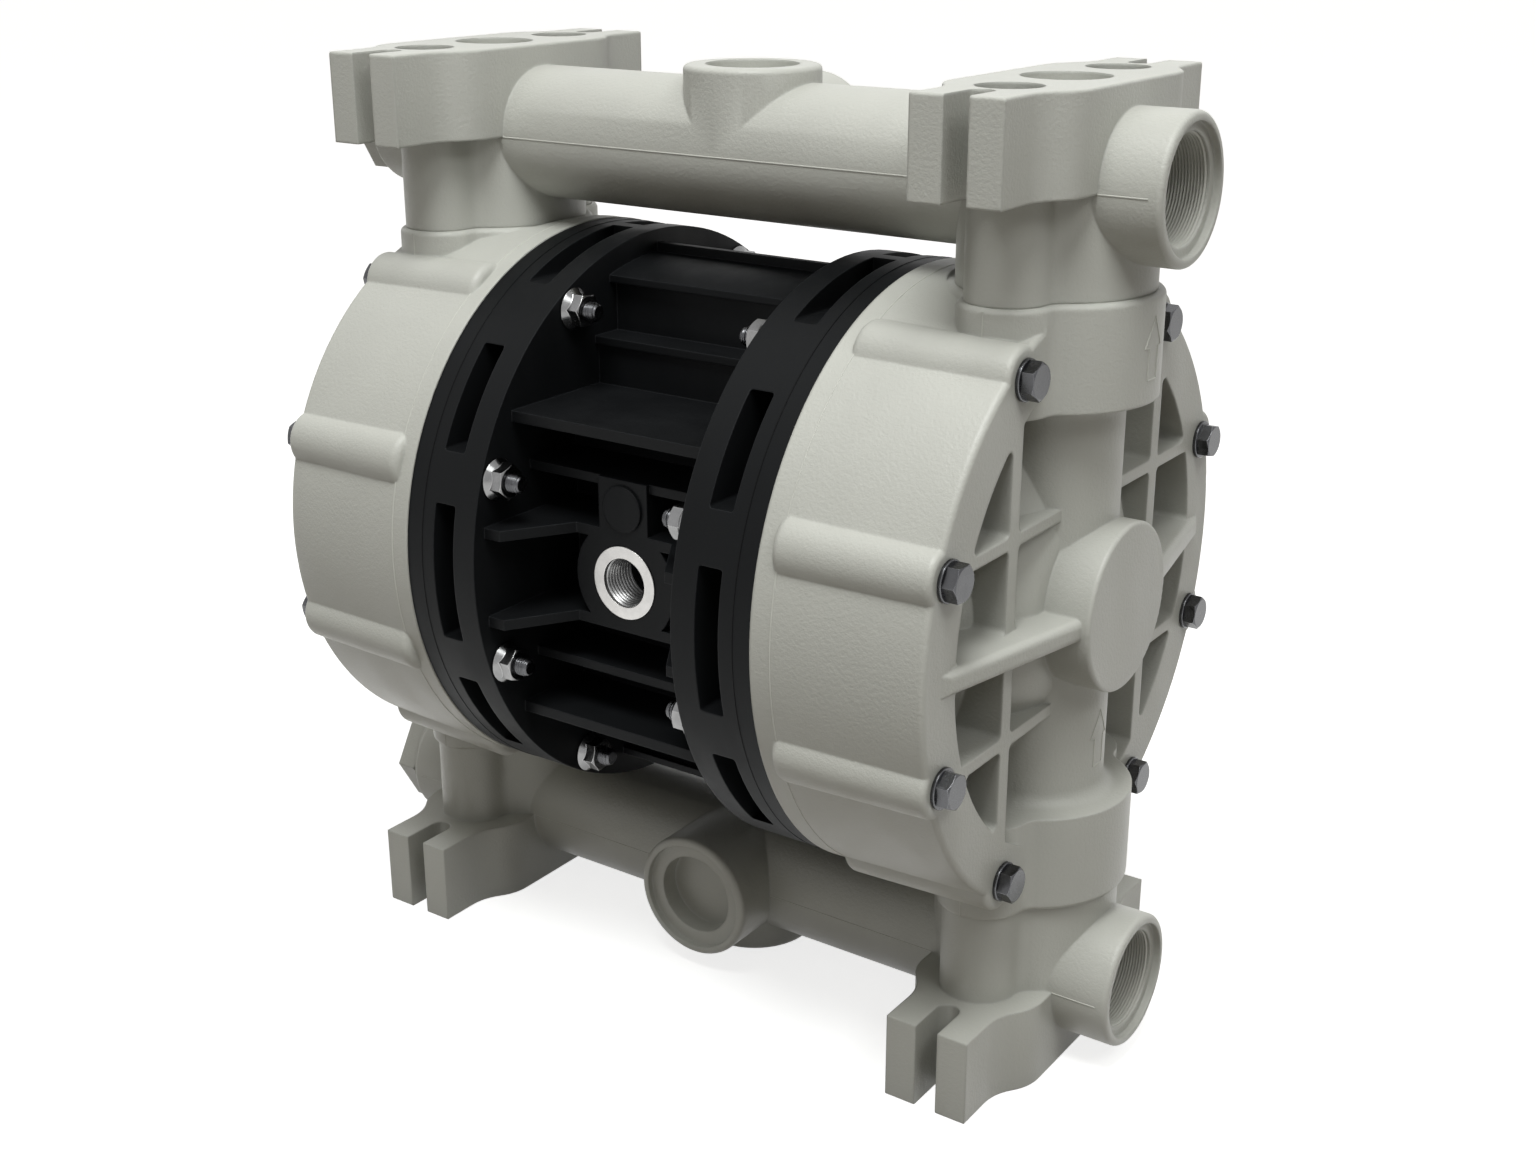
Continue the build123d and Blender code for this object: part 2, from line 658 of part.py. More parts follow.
def exhaust_silencer():
    """The screwed silencer at the back: thread, hexagon and a slotted cap."""
    body = extrude(hexagon(silencer_across_flats), silencer_hex_height)
    body += rod_z(silencer_r, silencer_hex_height, silencer_length)
    body = fillet(body.faces().sort_by(Axis.Z)[-1].edges(), silencer_edge_r)
    slot = bar((silencer_r - silencer_slot_depth, silencer_r + 1),
               (-silencer_slot_width / 2, silencer_slot_width / 2),
               (silencer_hex_height + silencer_slot_inset, silencer_length - silencer_slot_inset))
    body -= [Rot(0, 0, 360 / silencer_slots * i) * slot for i in range(silencer_slots)]
    body += rod_z(exhaust_thread_r - thread_gap, -exhaust_thread_length + 1, 1)
    body -= rod_z(exhaust_channel_r - 1, -exhaust_thread_length, silencer_length - silencer_end_wall)
    return Pos(0, inlet_face_y, exhaust_z) * Rot(-90, 0, 0) * body


def ring_groove(outer_r, section_r, x):
    """The groove around a cylinder along X for one sealing ring."""
    half = section_r + ring_side_gap
    floor_r = outer_r - 2 * section_r - ring_floor_gap
    return rod_x(outer_r + 1, x - half, x + half) - rod_x(floor_r, x - 2 * half, x + 2 * half)


def valve_sleeve():
    """The fixed sleeve of the air valve, with its ports and seal grooves."""
    outer_r = valve_bore_r - running_gap
    body = rod_x(outer_r, -sleeve_half_length, sleeve_half_length)
    body -= rod_x(sleeve_inner_r, -sleeve_half_length - 1, sleeve_half_length + 1)
    for x in sleeve_seal_places():
        body -= ring_groove(outer_r, o_ring_r, x)
    for x in (-exhaust_hole_x, exhaust_hole_x):
        body -= rod_z(port_hole_r, 0, valve_bore_r + 1, x)
    for x in (-feed_hole_x, feed_hole_x):
        body -= rod_z(port_hole_r, -valve_bore_r - 1, 0, x)
    return body - rod_y(port_hole_r, -valve_bore_r - 1, 0)


def sleeve_seal_places():
    """The X positions of the rings around the sleeve."""
    inner = (feed_hole_x + exhaust_hole_x) / 2
    outer = (exhaust_hole_x + sleeve_half_length) / 2
    return (-outer, -inner, inner, outer)


def sleeve_seals():
    """The four rings around the sleeve."""
    ring_r = valve_bore_r - running_gap - o_ring_r
    return [Pos(x, 0, 0) * Rot(0, 90, 0) * o_ring(ring_r, o_ring_r) for x in sleeve_seal_places()]


def spool_ring_places():
    """The X positions of the rings on the spool."""
    reach = spool_half_length - spool_end_land
    return (-reach, -reach / 3, reach / 3, reach)


def valve_spool():
    """The sliding spool of the air valve: a tube around the shaft with waisted lands."""
    outer_r = sleeve_inner_r - running_gap
    body = rod_x(outer_r, -spool_half_length, spool_half_length)
    places = spool_ring_places()
    for first, second in zip(places, places[1:]):
        middle = (first + second) / 2
        half = (second - first) / 2 - spool_land_half
        waist = rod_x(outer_r + 1, middle - half, middle + half)
        body -= waist - rod_x(outer_r - spool_groove_depth, middle - half - 1, middle + half + 1)
    for x in places:
        body -= ring_groove(outer_r, spool_ring_r, x)
    return body - rod_x(shaft_r + spool_inner_gap, -spool_half_length - 1, spool_half_length + 1)


def spool_seals():
    """The four rings on the spool."""
    ring_r = sleeve_inner_r - running_gap - spool_ring_r
    return [Pos(x, 0, 0) * Rot(0, 90, 0) * o_ring(ring_r, spool_ring_r) for x in spool_ring_places()]


def shaft_bush():
    """The right hand bush that carries the shaft and closes the valve."""
    seal_start = chamber_wall_x - shaft_seal_width
    body = rod_x(valve_bore_r - running_gap, sleeve_half_length, chamber_wall_x)
    body -= rod_x(shaft_r + running_gap, 0, 2 * chamber_wall_x)
    return body - rod_x(shaft_seal_r, seal_start, chamber_wall_x + 1)


def shaft_seal():
    """The right hand shaft seal, flush with the chamber's wall."""
    seal_start = chamber_wall_x - shaft_seal_width
    return rod_x(shaft_seal_r - running_gap, seal_start, chamber_wall_x) - rod_x(
        shaft_r + running_gap, seal_start - 1, chamber_wall_x + 1)


def diaphragm_shaft():
    """The shaft between the two inner plates, tapped at both ends."""
    body = rod_x(shaft_r, -shaft_half_length, shaft_half_length)
    body = chamfer(body.edges().filter_by(GeomType.CIRCLE), 0.8)
    tapped = rod_x(stud_r + thread_gap, shaft_half_length - stud_engagement - 2, shaft_half_length + 1)
    return body - mirrored(tapped, Plane.YZ)


def inner_plate():
    """The right hand plate on the air side of the diaphragm."""
    start = hub_inner_x - inner_plate_thickness
    body = rod_x(plate_r, start, hub_inner_x)
    body = fillet(body.edges().filter_by(GeomType.CIRCLE), plate_edge_r)
    return body - rod_x(stud_r + thread_gap, start - 1, hub_inner_x + 1)


def outer_plate():
    """The right hand plate on the fluid side, domed, with its stud."""
    rim_x = hub_outer_x + outer_plate_thickness
    top_x = rim_x + outer_plate_dome
    sphere_r = (plate_r**2 + outer_plate_dome**2) / (2 * outer_plate_dome)
    middle = (top_x - sphere_r + sqrt(sphere_r**2 - (plate_r / 2)**2), plate_r / 2)
    outline = ThreePointArc((rim_x, plate_r), middle, (top_x, 0))
    outline += Polyline((top_x, 0), (hub_outer_x, 0), (hub_outer_x, plate_r), (rim_x, plate_r))
    body = revolve(make_face(outline), Axis.X)
    body = fillet(body.edges().filter_by(GeomType.CIRCLE), plate_edge_r)
    stud_end = shaft_half_length - stud_engagement
    return body + rod_x(stud_r, stud_end, hub_outer_x + 1)


def diaphragm(inner_x, thickness):
    """A right hand diaphragm: bead, flexing roll and hub, from its air side face."""
    outer_x = inner_x + thickness
    flex_start = plate_r + flex_margin
    flex_end = bead_inner_r - flex_margin
    flex_middle = (flex_start + flex_end) / 2
    outline = [Line((inner_x, stud_r + thread_gap), (inner_x, flex_start)),
               ThreePointArc((inner_x, flex_start), (inner_x + flex_bulge, flex_middle), (inner_x, flex_end)),
               Line((inner_x, flex_end), (inner_x, bead_outer_r)),
               Line((inner_x, bead_outer_r), (outer_x, bead_outer_r)),
               Line((outer_x, bead_outer_r), (outer_x, flex_end)),
               ThreePointArc((outer_x, flex_end), (outer_x + flex_bulge, flex_middle), (outer_x, flex_start)),
               Line((outer_x, flex_start), (outer_x, stud_r + thread_gap)),
               Line((outer_x, stud_r + thread_gap), (inner_x, stud_r + thread_gap))]
    return revolve(make_face(Curve() + outline), Axis.X)


def casing_bolts():
    """The right hand casing's bolts, washers and nuts, as three groups."""
    bolt = Rot(0, 90, 0) * hex_bolt(bolt_length)
    washer = Rot(0, 90, 0) * flat_washer()
    nut = Rot(0, -90, 0) * flange_nut()
    bolts = [Pos(head_seat_x, y, z) * bolt for y, z in bolt_places()]
    washers = [Pos(cover_face_x, y, z) * washer for y, z in bolt_places()]
    nuts = [Pos(flange_inner_x, y, z) * nut for y, z in bolt_places()]
    return bolts, washers, nuts


def manifold_bolts():
    """The bottom manifold's screws, washers and inserts, as three groups."""
    places = [(x, y) for x in (-valve_axis_x, valve_axis_x) for y in (-manifold_bolt_y, manifold_bolt_y)]
    bolt = Rot(180, 0, 0) * hex_bolt(manifold_bolt_length)
    washer = Rot(180, 0, 0) * flat_washer()
    insert = rod_z(insert_r, -manifold_joint_z, -manifold_joint_z + insert_length)
    insert -= rod_z(bolt_r + thread_gap, -manifold_joint_z - 1, -manifold_joint_z + insert_length + 1)
    bolts = [Pos(x, y, -screw_seat_z - washer_thickness) * bolt for x, y in places]
    washers = [Pos(x, y, -screw_seat_z) * washer for x, y in places]
    inserts = [Pos(x, y, 0) * insert for x, y in places]
    return bolts, washers, inserts


def as_group(shapes):
    """A list of solids, or one shape, as one compound of separate solids."""
    shapes = shapes if isinstance(shapes, list) else [shapes]
    return Compound(children=[solid for shape in shapes for solid in shape.solids()])


def turned_about(shapes, axis):
    """Shapes turned half a turn about an axis through the middle of the pump."""
    shapes = shapes if isinstance(shapes, list) else [shapes]
    return [shape.rotate(axis, 180) for shape in shapes]


def valve_nodes():
    """The seats, seals, cages and balls of the four valves."""
    seat = valve_seat()
    cage = ball_cage()
    seal_r = seal_groove_floor_r + seal_section_r + running_gap
    seal = Pos(0, 0, -seat_thickness / 2) * o_ring(seal_r, seal_section_r)
    ball = Pos(0, 0, ball_centre_height) * Sphere(ball_r)
    levels = {"suction": -seat_inner_z, "delivery": manifold_joint_z}
    for level, z in levels.items():
        for side, x in (("left", -valve_axis_x), ("right", valve_axis_x)):
            place = Pos(x, 0, z)
            yield f"valve_seat_{level}_{side}", place * seat
            yield f"ball_cage_{level}_{side}", place * cage
            yield f"seat_seal_{level}_{side}", place * seal
            yield f"valve_ball_{level}_{side}", place * ball


def all_nodes():
    """Every node of the pump with its solids, about the middle of the shaft."""
    nodes = {"centre_block": centre_block(), "air_inlet_bush": air_inlet_bush(),
             "channel_plug": channel_plug(), "exhaust_silencer": exhaust_silencer(),
             "valve_sleeve": valve_sleeve(), "sleeve_seals": sleeve_seals(), "valve_spool": valve_spool(),
             "spool_seals": spool_seals(), "diaphragm_shaft": diaphragm_shaft()}
    bolts, washers, nuts = casing_bolts()
    right = {"casing": casing(), "casing_bolts": bolts, "casing_washers": washers, "casing_nuts": nuts,
             "outer_plate": outer_plate(), "inner_plate": inner_plate(), "shaft_bush": shaft_bush(),
             "shaft_seal": shaft_seal(),
             "fluid_diaphragm": diaphragm(hub_outer_x - fluid_diaphragm_thickness, fluid_diaphragm_thickness),
             "backup_diaphragm": diaphragm(hub_inner_x, backup_diaphragm_thickness)}
    for name, shape in right.items():
        nodes[name + "_right"] = shape
        nodes[name + "_left"] = turned_about(shape, Axis.Z)
    screws, screw_washers, inserts = manifold_bolts()
    bottom = {"manifold": manifold(), "manifold_plug": end_plug(), "plug_gasket": plug_gasket(),
              "manifold_bolts": screws, "manifold_washers": screw_washers, "manifold_inserts": inserts}
    for name, shape in bottom.items():
        nodes[name + "_bottom"] = shape
        nodes[name + "_top"] = turned_about(shape, Axis.X)
    nodes.update(valve_nodes())
    return nodes


def main():
    os.makedirs("parts", exist_ok=True)
    for name, shape in all_nodes().items():
        placed = Pos(0, 0, axis_height) * as_group(shape)
        export_step(placed, f"parts/{name}.step")
        print(name, len(placed.solids()), "solids", round(placed.volume), "mm3")


if __name__ == "__main__":
    main()
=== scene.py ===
"""Looks of an air operated diaphragm pump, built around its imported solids.

The pump stands on its feet at the origin. X runs along the diaphragm shaft, the air inlet faces -Y
and +Z is up. All lengths are metres.
"""

from __future__ import annotations

import logging
import math
from collections.abc import Iterator, Sequence
from dataclasses import dataclass
from enum import Enum

import bmesh
import bpy
from mathutils import Matrix, Vector

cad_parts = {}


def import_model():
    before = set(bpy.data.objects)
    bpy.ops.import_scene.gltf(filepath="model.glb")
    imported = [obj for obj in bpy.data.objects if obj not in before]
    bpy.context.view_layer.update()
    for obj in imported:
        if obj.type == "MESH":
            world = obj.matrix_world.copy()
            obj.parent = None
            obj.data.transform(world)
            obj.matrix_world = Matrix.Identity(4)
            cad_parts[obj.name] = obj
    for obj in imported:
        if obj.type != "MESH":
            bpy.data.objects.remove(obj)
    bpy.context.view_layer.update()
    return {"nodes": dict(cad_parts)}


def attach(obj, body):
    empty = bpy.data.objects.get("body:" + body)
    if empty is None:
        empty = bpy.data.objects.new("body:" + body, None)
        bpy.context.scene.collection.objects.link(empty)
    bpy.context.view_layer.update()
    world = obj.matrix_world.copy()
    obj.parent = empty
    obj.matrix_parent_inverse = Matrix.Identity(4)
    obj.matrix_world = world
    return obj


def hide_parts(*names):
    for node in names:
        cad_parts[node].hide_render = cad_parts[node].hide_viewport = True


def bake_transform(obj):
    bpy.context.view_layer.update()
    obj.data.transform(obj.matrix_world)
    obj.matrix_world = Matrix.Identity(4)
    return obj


log = logging.getLogger("diaphragm_pump")

Colour = tuple[float, float, float]
Triple = tuple[float, float, float]
Socket = bpy.types.NodeSocket

MM = 0.001
FIXED_BODY = "pump"
WELD = 0.002 * MM
OVERLAP = 0.05 * MM


class Named(Enum):
    """An option whose name is part of the names of pieces."""

    @property
    def word(self) -> str:
        """The name in lower case."""
        return self.name.lower()


class Side(Named):
    """Left or right hand of the pump, seen from the air inlet."""

    LEFT = -1
    RIGHT = 1


class Level(Named):
    """Suction level at the bottom or delivery level at the top."""

    BOTTOM = -1
    TOP = 1


@dataclass(frozen=True)
class Layout:
    """Main sizes of the pump that the dressed pieces line up with."""

    axis_height: float = 201.0 * MM
    port_axis: float = 163.5 * MM
    valve_x: float = 141.4 * MM
    joint_x: float = 87.2 * MM
    flange_inner_x: float = 50.2 * MM
    cover_x: float = 160.0 * MM
    flange_r: float = 126.0 * MM
    cover_joint_r: float = 126.5 * MM
    cover_face_r: float = 124.2 * MM
    bolt_circle: float = 116.5 * MM
    bolt_angles: tuple[float, ...] = (30.0, 70.0, 110.0, 150.0)

    def bolt_places(self) -> list[tuple[float, float]]:
        """Places of the casing screws on one side.

        Returns:
            Pairs of y and height above the floor.
        """
        places = []
        for angle in self.bolt_angles:
            for hand in (-1, 1):
                turn = math.radians(angle) * hand
                places.append((self.bolt_circle * math.sin(turn),
                               self.axis_height + self.bolt_circle * math.cos(turn)))
        return places


LAYOUT = Layout()


def put_in_scene(name: str, data: bpy.types.ID) -> bpy.types.Object:
    """Makes an object and links it into the scene.

    Args:
        name: The object's name.
        data: Its mesh, lamp or camera.

    Returns:
        The new object.
    """
    thing = bpy.data.objects.new(name, data)
    bpy.context.scene.collection.objects.link(thing)
    return thing


class NodeWork:
    """Short calls that add nodes to a tree and link them."""

    def __init__(self, tree: bpy.types.NodeTree) -> None:
        """Empties the tree.

        Args:
            tree: The tree to work in.
        """
        self.tree = tree
        self.tree.nodes.clear()

    def feed(self, target: Socket, value: object) -> None:
        """Links a socket to another one, or sets it to a constant.

        Args:
            target: The socket to feed.
            value: The other socket, or the constant.
        """
        if isinstance(value, Socket):
            self.tree.links.new(value, target)
        else:
            target.default_value = value

    def add(self, kind: str, inputs: dict[str | int, object] | None = None,
            **settings: object) -> bpy.types.Node:
        """Adds a node, feeds its sockets and sets its properties.

        Args:
            kind: The node's type.
            inputs: Sockets or constants for its sockets, by name or number.
            settings: Values for the node's own properties.

        Returns:
            The new node.
        """
        node = self.tree.nodes.new(kind)
        for key, value in settings.items():
            setattr(node, key, value)
        for key, value in (inputs or {}).items():
            self.feed(node.inputs[key], value)
        return node

    def remap(self, value: Socket, low: float, high: float, to_low: float = 0.0,
              to_high: float = 1.0) -> Socket:
        """Maps a value from one range to another and clamps it.

        Args:
            value: The value to map.
            low: Value that gives to_low.
            high: Value that gives to_high.
            to_low: Result at low.
            to_high: Result at high.

        Returns:
            The mapped value.
        """
        remap = self.add("ShaderNodeMapRange", {"Value": value, "From Min": low, "From Max": high,
                                                "To Min": to_low, "To Max": to_high})
        return remap.outputs["Result"]

    def maths(self, operation: str, first: Socket, second: Socket | float) -> Socket:
        """A sum, product or other operation on two values.

        Args:
            operation: Name of the operation.
            first: First value.
            second: Second value, a socket or a number.

        Returns:
            The result socket.
        """
        maths = self.add("ShaderNodeMath", {0: first, 1: second}, operation=operation)
        return maths.outputs["Value"]

    def plus(self, first: Socket, second: Socket | float) -> Socket:
        """The sum of two values."""
        return self.maths("ADD", first, second)

    def times(self, first: Socket, second: Socket | float) -> Socket:
        """The product of two values."""
        return self.maths("MULTIPLY", first, second)

    def seen_directly(self) -> Socket:
        """One for rays from the lens, from gloss and through glass, and nought for the rest.

        Returns:
            The value socket.
        """
        rays = self.add("ShaderNodeLightPath").outputs
        total = self.plus(rays["Is Camera Ray"], rays["Is Glossy Ray"])
        return self.maths("MINIMUM", self.plus(total, rays["Is Transmission Ray"]), 1.0)


class NodeSheet(NodeWork):
    """A material under construction: a Principled shader and calls for the nodes around it."""

    samples = 6
    flat_cosine = 0.995
    edge_cosine = 0.80

    def __init__(self, name: str) -> None:
        """Starts an empty material.

        Args:
            name: The material's name.
        """
        self.material = bpy.data.materials.new(name)
        self.material.use_nodes = True
        super().__init__(self.material.node_tree)
        self.surface = self.add("ShaderNodeBsdfPrincipled")
        self.add("ShaderNodeOutputMaterial", {"Surface": self.surface.outputs["BSDF"]})
        self.place = self.add("ShaderNodeTexCoord").outputs["Object"]

    def stretch(self, scale: Sequence[float], shift: Sequence[float] = (0, 0, 0)) -> Socket:
        """Object coordinates, scaled and shifted along each axis.

        Args:
            scale: Scale along X, Y and Z.
            shift: Offset added after the scale.

        Returns:
            The vector socket.
        """
        mapping = self.add("ShaderNodeMapping",
                           {"Vector": self.place, "Scale": scale, "Location": shift})
        return mapping.outputs["Vector"]

    def noise(self, scale: float, detail: float, rough: float = 0.5,
              place: Socket | None = None) -> Socket:
        """A noise value.

        Args:
            scale: Features per metre.
            detail: Number of octaves.
            rough: Weight of the finer octaves.
            place: Coordinates to use in place of the object's own.

        Returns:
            The factor socket.
        """
        noise = self.add("ShaderNodeTexNoise", {"Vector": place or self.place, "Scale": scale,
                                                "Detail": detail, "Roughness": rough})
        return noise.outputs["Fac"]

    def cells(self, scale: float) -> Socket:
        """Distance to the nearest cell centre.

        Args:
            scale: Cells per metre.

        Returns:
            The distance socket.
        """
        cells = self.add("ShaderNodeTexVoronoi", {"Vector": self.place, "Scale": scale})
        return cells.outputs["Distance"]

    def blend(self, amount: Socket, first: Colour | Socket, second: Colour | Socket) -> Socket:
        """Mixes two colours.

        Args:
            amount: 0 gives the first colour, 1 the second.
            first: A colour or a colour socket.
            second: A colour or a colour socket.

        Returns:
            The mixed colour.
        """
        mix = self.add("ShaderNodeMix", {"Factor": amount}, data_type="RGBA")
        for slot, colour in (("A", first), ("B", second)):
            socket = next(s for s in mix.inputs if s.name == slot and s.type == "RGBA")
            self.feed(socket, colour if isinstance(colour, Socket) else (*colour, 1.0))
        return next(s for s in mix.outputs if s.type == "RGBA")

    def bump(self, height: Socket, depth: float, strength: float,
             normal: Socket | None = None) -> Socket:
        """Bumps the surface.

        Args:
            height: Height from 0 to 1.
            depth: Height difference in metres.
            strength: How far the bump is taken.
            normal: Normal to start from.

        Returns:
            The new normal.
        """
        inputs = {"Height": height, "Distance": depth, "Strength": strength}
        if normal is not None:
            inputs["Normal"] = normal
        return self.add("ShaderNodeBump", inputs).outputs["Normal"]

    def soft_edge(self, radius: float) -> Socket:
        """A normal that rounds the solid's edges to a radius in metres."""
        bevel = self.add("ShaderNodeBevel", {"Radius": radius}, samples=self.samples)
        return bevel.outputs["Normal"]

    def crevices(self, reach: float) -> Socket:
        """How far a point lies in a corner, from 0 in the open to 1 in a corner.

        Args:
            reach: Distance in metres that the corner is felt over.

        Returns:
            The crevice value.
        """
        shade = self.add("ShaderNodeAmbientOcclusion", {"Distance": reach}, samples=self.samples)
        return self.remap(shade.outputs["AO"], 1.0, 0.0)

    def worn_edges(self, radius: float) -> Socket:
        """How close a point lies to an edge, from 0 on a flat to 1 on the edge.

        Args:
            radius: Distance in metres that an edge is felt over.

        Returns:
            The edge value.
        """
        flat = self.add("ShaderNodeNewGeometry").outputs["Normal"]
        cosine = self.add("ShaderNodeVectorMath", {0: self.soft_edge(radius), 1: flat},
                          operation="DOT_PRODUCT")
        return self.remap(cosine.outputs["Value"], self.flat_cosine, self.edge_cosine)

    def set(self, **values: object) -> None:
        """Feeds sockets of the shader by name, with underscores for spaces."""
        for key, value in values.items():
            self.feed(self.surface.inputs[key.replace("_", " ")], value)


@dataclass(frozen=True)
class Finish:
    """A finish shared by several pieces: a name, a record slot and a colour."""

    name: str
    slot: str
    tint: Colour

    def build(self) -> bpy.types.Material:
        """Makes the material, or finds it if it was made before.

        Returns:
            The material.
        """
        known = bpy.data.materials.get(self.name)
        if known is not None:
            return known
        sheet = NodeSheet(self.name)
        self.lay(sheet)
        return sheet.material

    def lay(self, sheet: NodeSheet) -> None:
        """Lays the finish's own nodes.

        Args:
            sheet: The material under construction.
        """
        raise NotImplementedError

    def shade(self, factor: float) -> Colour:
        """The finish's colour, darker or lighter."""
        return tuple(min(1.0, channel * factor) for channel in self.tint)


@dataclass(frozen=True)
class MouldedPlastic(Finish):
    """Injection moulded plastic with a fine spark eroded grain, flow marks and painted recess
    shade.
    """

    rough: float = 0.42
    grain: float = 0.28 * MM
    grain_scale: float = 700.0
    edge: float = 1.5 * MM
    cloud: float = 0.04
    specular: float = 0.5
    # Darkening in tight corners: painted shade mixed with specks of soil.
    soil_and_shade: float = 0.25
    # Strength of the painted shade that darkens wide recesses.
    recess_shade: float = 0.4
    wear: float = 1.08
    cloud_scale: float = 14.0
    flow_scale: float = 40.0
    speck_scale: float = 220.0
    wave_scale: float = 55.0
    wave_depth: float = 0.12 * MM
    # Reaches of the painted corner shade with soil, and of the painted recess shade.
    soil_and_shade_reach: float = 9.0 * MM
    recess_shade_reach: float = 40.0 * MM

    def lay(self, sheet: NodeSheet) -> None:
        """Lays colour, gloss, grain, faint waves and soft edges.

        Args:
            sheet: The material under construction.
        """
        flow = sheet.noise(self.flow_scale, 4.0, 0.6, sheet.stretch((1.0, 1.0, 0.25)))
        grain = sheet.noise(self.grain_scale, 3.0, 0.65)
        grained = sheet.bump(grain, self.grain, 0.8, sheet.soft_edge(self.edge))
        waves = sheet.noise(self.wave_scale, 1.0)
        sheet.set(Base_Color=self.soiled_and_shaded(sheet, self.clouded(sheet, flow)),
                  Roughness=sheet.remap(flow, 0.3, 0.7, self.rough - 0.07, self.rough + 0.08),
                  Normal=sheet.bump(waves, self.wave_depth, 0.5, grained),
                  Specular_IOR_Level=self.specular)

    def clouded(self, sheet: NodeSheet, flow: Socket) -> Socket:
        """The plastic's own colour, with clouds and flow marks in it.

        Args:
            sheet: The material under construction.
            flow: The flow marks.

        Returns:
            The colour.
        """
        clouds = sheet.noise(self.cloud_scale, 3.0)
        tone = sheet.plus(sheet.times(clouds, 0.6), sheet.times(flow, 0.4))
        return sheet.blend(sheet.remap(tone, 0.35, 0.65), self.shade(1 - self.cloud),
                           self.shade(1 + self.cloud))

    def soiled_and_shaded(self, sheet: NodeSheet, clean: Socket) -> Socket:
        """Rubs edges lighter, lays painted shade in recesses, and soil with painted shade in
        corners.

        Args:
            sheet: The material under construction.
            clean: The plastic's own colour.

        Returns:
            The colour.
        """
        rubbed = sheet.blend(sheet.worn_edges(0.8 * self.edge), clean, self.shade(self.wear))
        # Painted shade: darker deep in wide recesses and under overhangs.
        recess_shade = sheet.times(sheet.crevices(self.recess_shade_reach), self.recess_shade)
        recess_shaded = sheet.blend(recess_shade, rubbed, self.shade(0.4))
        # Painted shade in the tight corners, broken by specks of soil.
        specks = sheet.remap(sheet.noise(self.speck_scale, 5.0, 0.7), 0.45, 0.75, 0.5, 1.0)
        soil_and_shade = sheet.times(sheet.times(sheet.crevices(self.soil_and_shade_reach), specks), self.soil_and_shade)
        return sheet.blend(soil_and_shade, recess_shaded, self.shade(0.45))


@dataclass(frozen=True)
class BrightMetal(Finish):
    """Bright drawn or rolled metal with fine scratches and smudges."""

    rough: float = 0.2
    scratch: float = 0.012 * MM
    edge: float = 0.35 * MM
    wear: float = 1.3
    smudge_scale: float = 160.0
    scratch_scale: float = 900.0
    # Reach of the painted shade in the corners.
    corner_shade_reach: float = 5.0 * MM

    def lay(self, sheet: NodeSheet) -> None:
        """Lays tone, smudges, painted shade in the corners, rubbed edges and relief.

        Args:
            sheet: The material under construction.
        """
        smudge = sheet.noise(self.smudge_scale, 4.0, 0.6)
        tone = sheet.blend(sheet.remap(smudge, 0.35, 0.7), self.shade(0.85), self.shade(1.1))
        # Painted shade: darker where corners close in.
        corner_shade = sheet.times(sheet.crevices(self.corner_shade_reach), 0.7)
        tone = sheet.blend(corner_shade, tone, self.shade(0.25))
        tone = sheet.blend(sheet.worn_edges(self.edge), tone, self.shade(self.wear))
        rough = sheet.remap(smudge, 0.3, 0.75, self.rough, self.rough + 0.14)
        sheet.set(Base_Color=tone, Roughness=rough, Normal=self.relief(sheet), Metallic=1.0)

    def relief(self, sheet: NodeSheet) -> Socket:
        """Fine scratches along one axis, over soft edges.

        Args:
            sheet: The material under construction.

        Returns:
            The normal.
        """
        lines = sheet.noise(self.scratch_scale, 3.0, 0.7, sheet.stretch((1.0, 8.0, 1.0)))
        return sheet.bump(lines, self.scratch, 0.5, sheet.soft_edge(self.edge))


@dataclass(frozen=True)
class FacedMetal(BrightMetal):
    """Metal faced on a lathe: fine rings about an axis along Y."""

    axis: tuple[float, float] = (0.0, LAYOUT.axis_height)
    ring_scale: float = 70.0

    def relief(self, sheet: NodeSheet) -> Socket:
        """The turned rings, over soft edges.

        Args:
            sheet: The material under construction.

        Returns:
            The normal.
        """
        place = sheet.stretch((1, 1, 1), (-self.axis[0], 0.0, -self.axis[1]))
        wave = sheet.add("ShaderNodeTexWave",
                         {"Vector": place, "Scale": self.ring_scale, "Distortion": 0.6},
                         wave_type="RINGS", rings_direction="Y")
        return sheet.bump(wave.outputs["Fac"], self.scratch, 0.4, sheet.soft_edge(self.edge))


@dataclass(frozen=True)
class SinteredBronze(Finish):
    """Grains of bronze baked together, as in a silencer."""

    grain_scale: float = 1500.0
    grain_depth: float = 0.25 * MM

    def lay(self, sheet: NodeSheet) -> None:
        """Lays round grains with dark gaps.

        Args:
            sheet: The material under construction.
        """
        grains = sheet.cells(self.grain_scale)
        rise = sheet.remap(grains, 0.0, 0.8, 1.0, 0.0)
        gaps = sheet.remap(grains, 0.1, 0.75)
        sheet.set(Base_Color=sheet.blend(gaps, self.shade(1.1), self.shade(0.35)),
                  Roughness=sheet.remap(grains, 0.1, 0.8, 0.35, 0.7),
                  Normal=sheet.bump(rise, self.grain_depth, 0.8), Metallic=0.9)


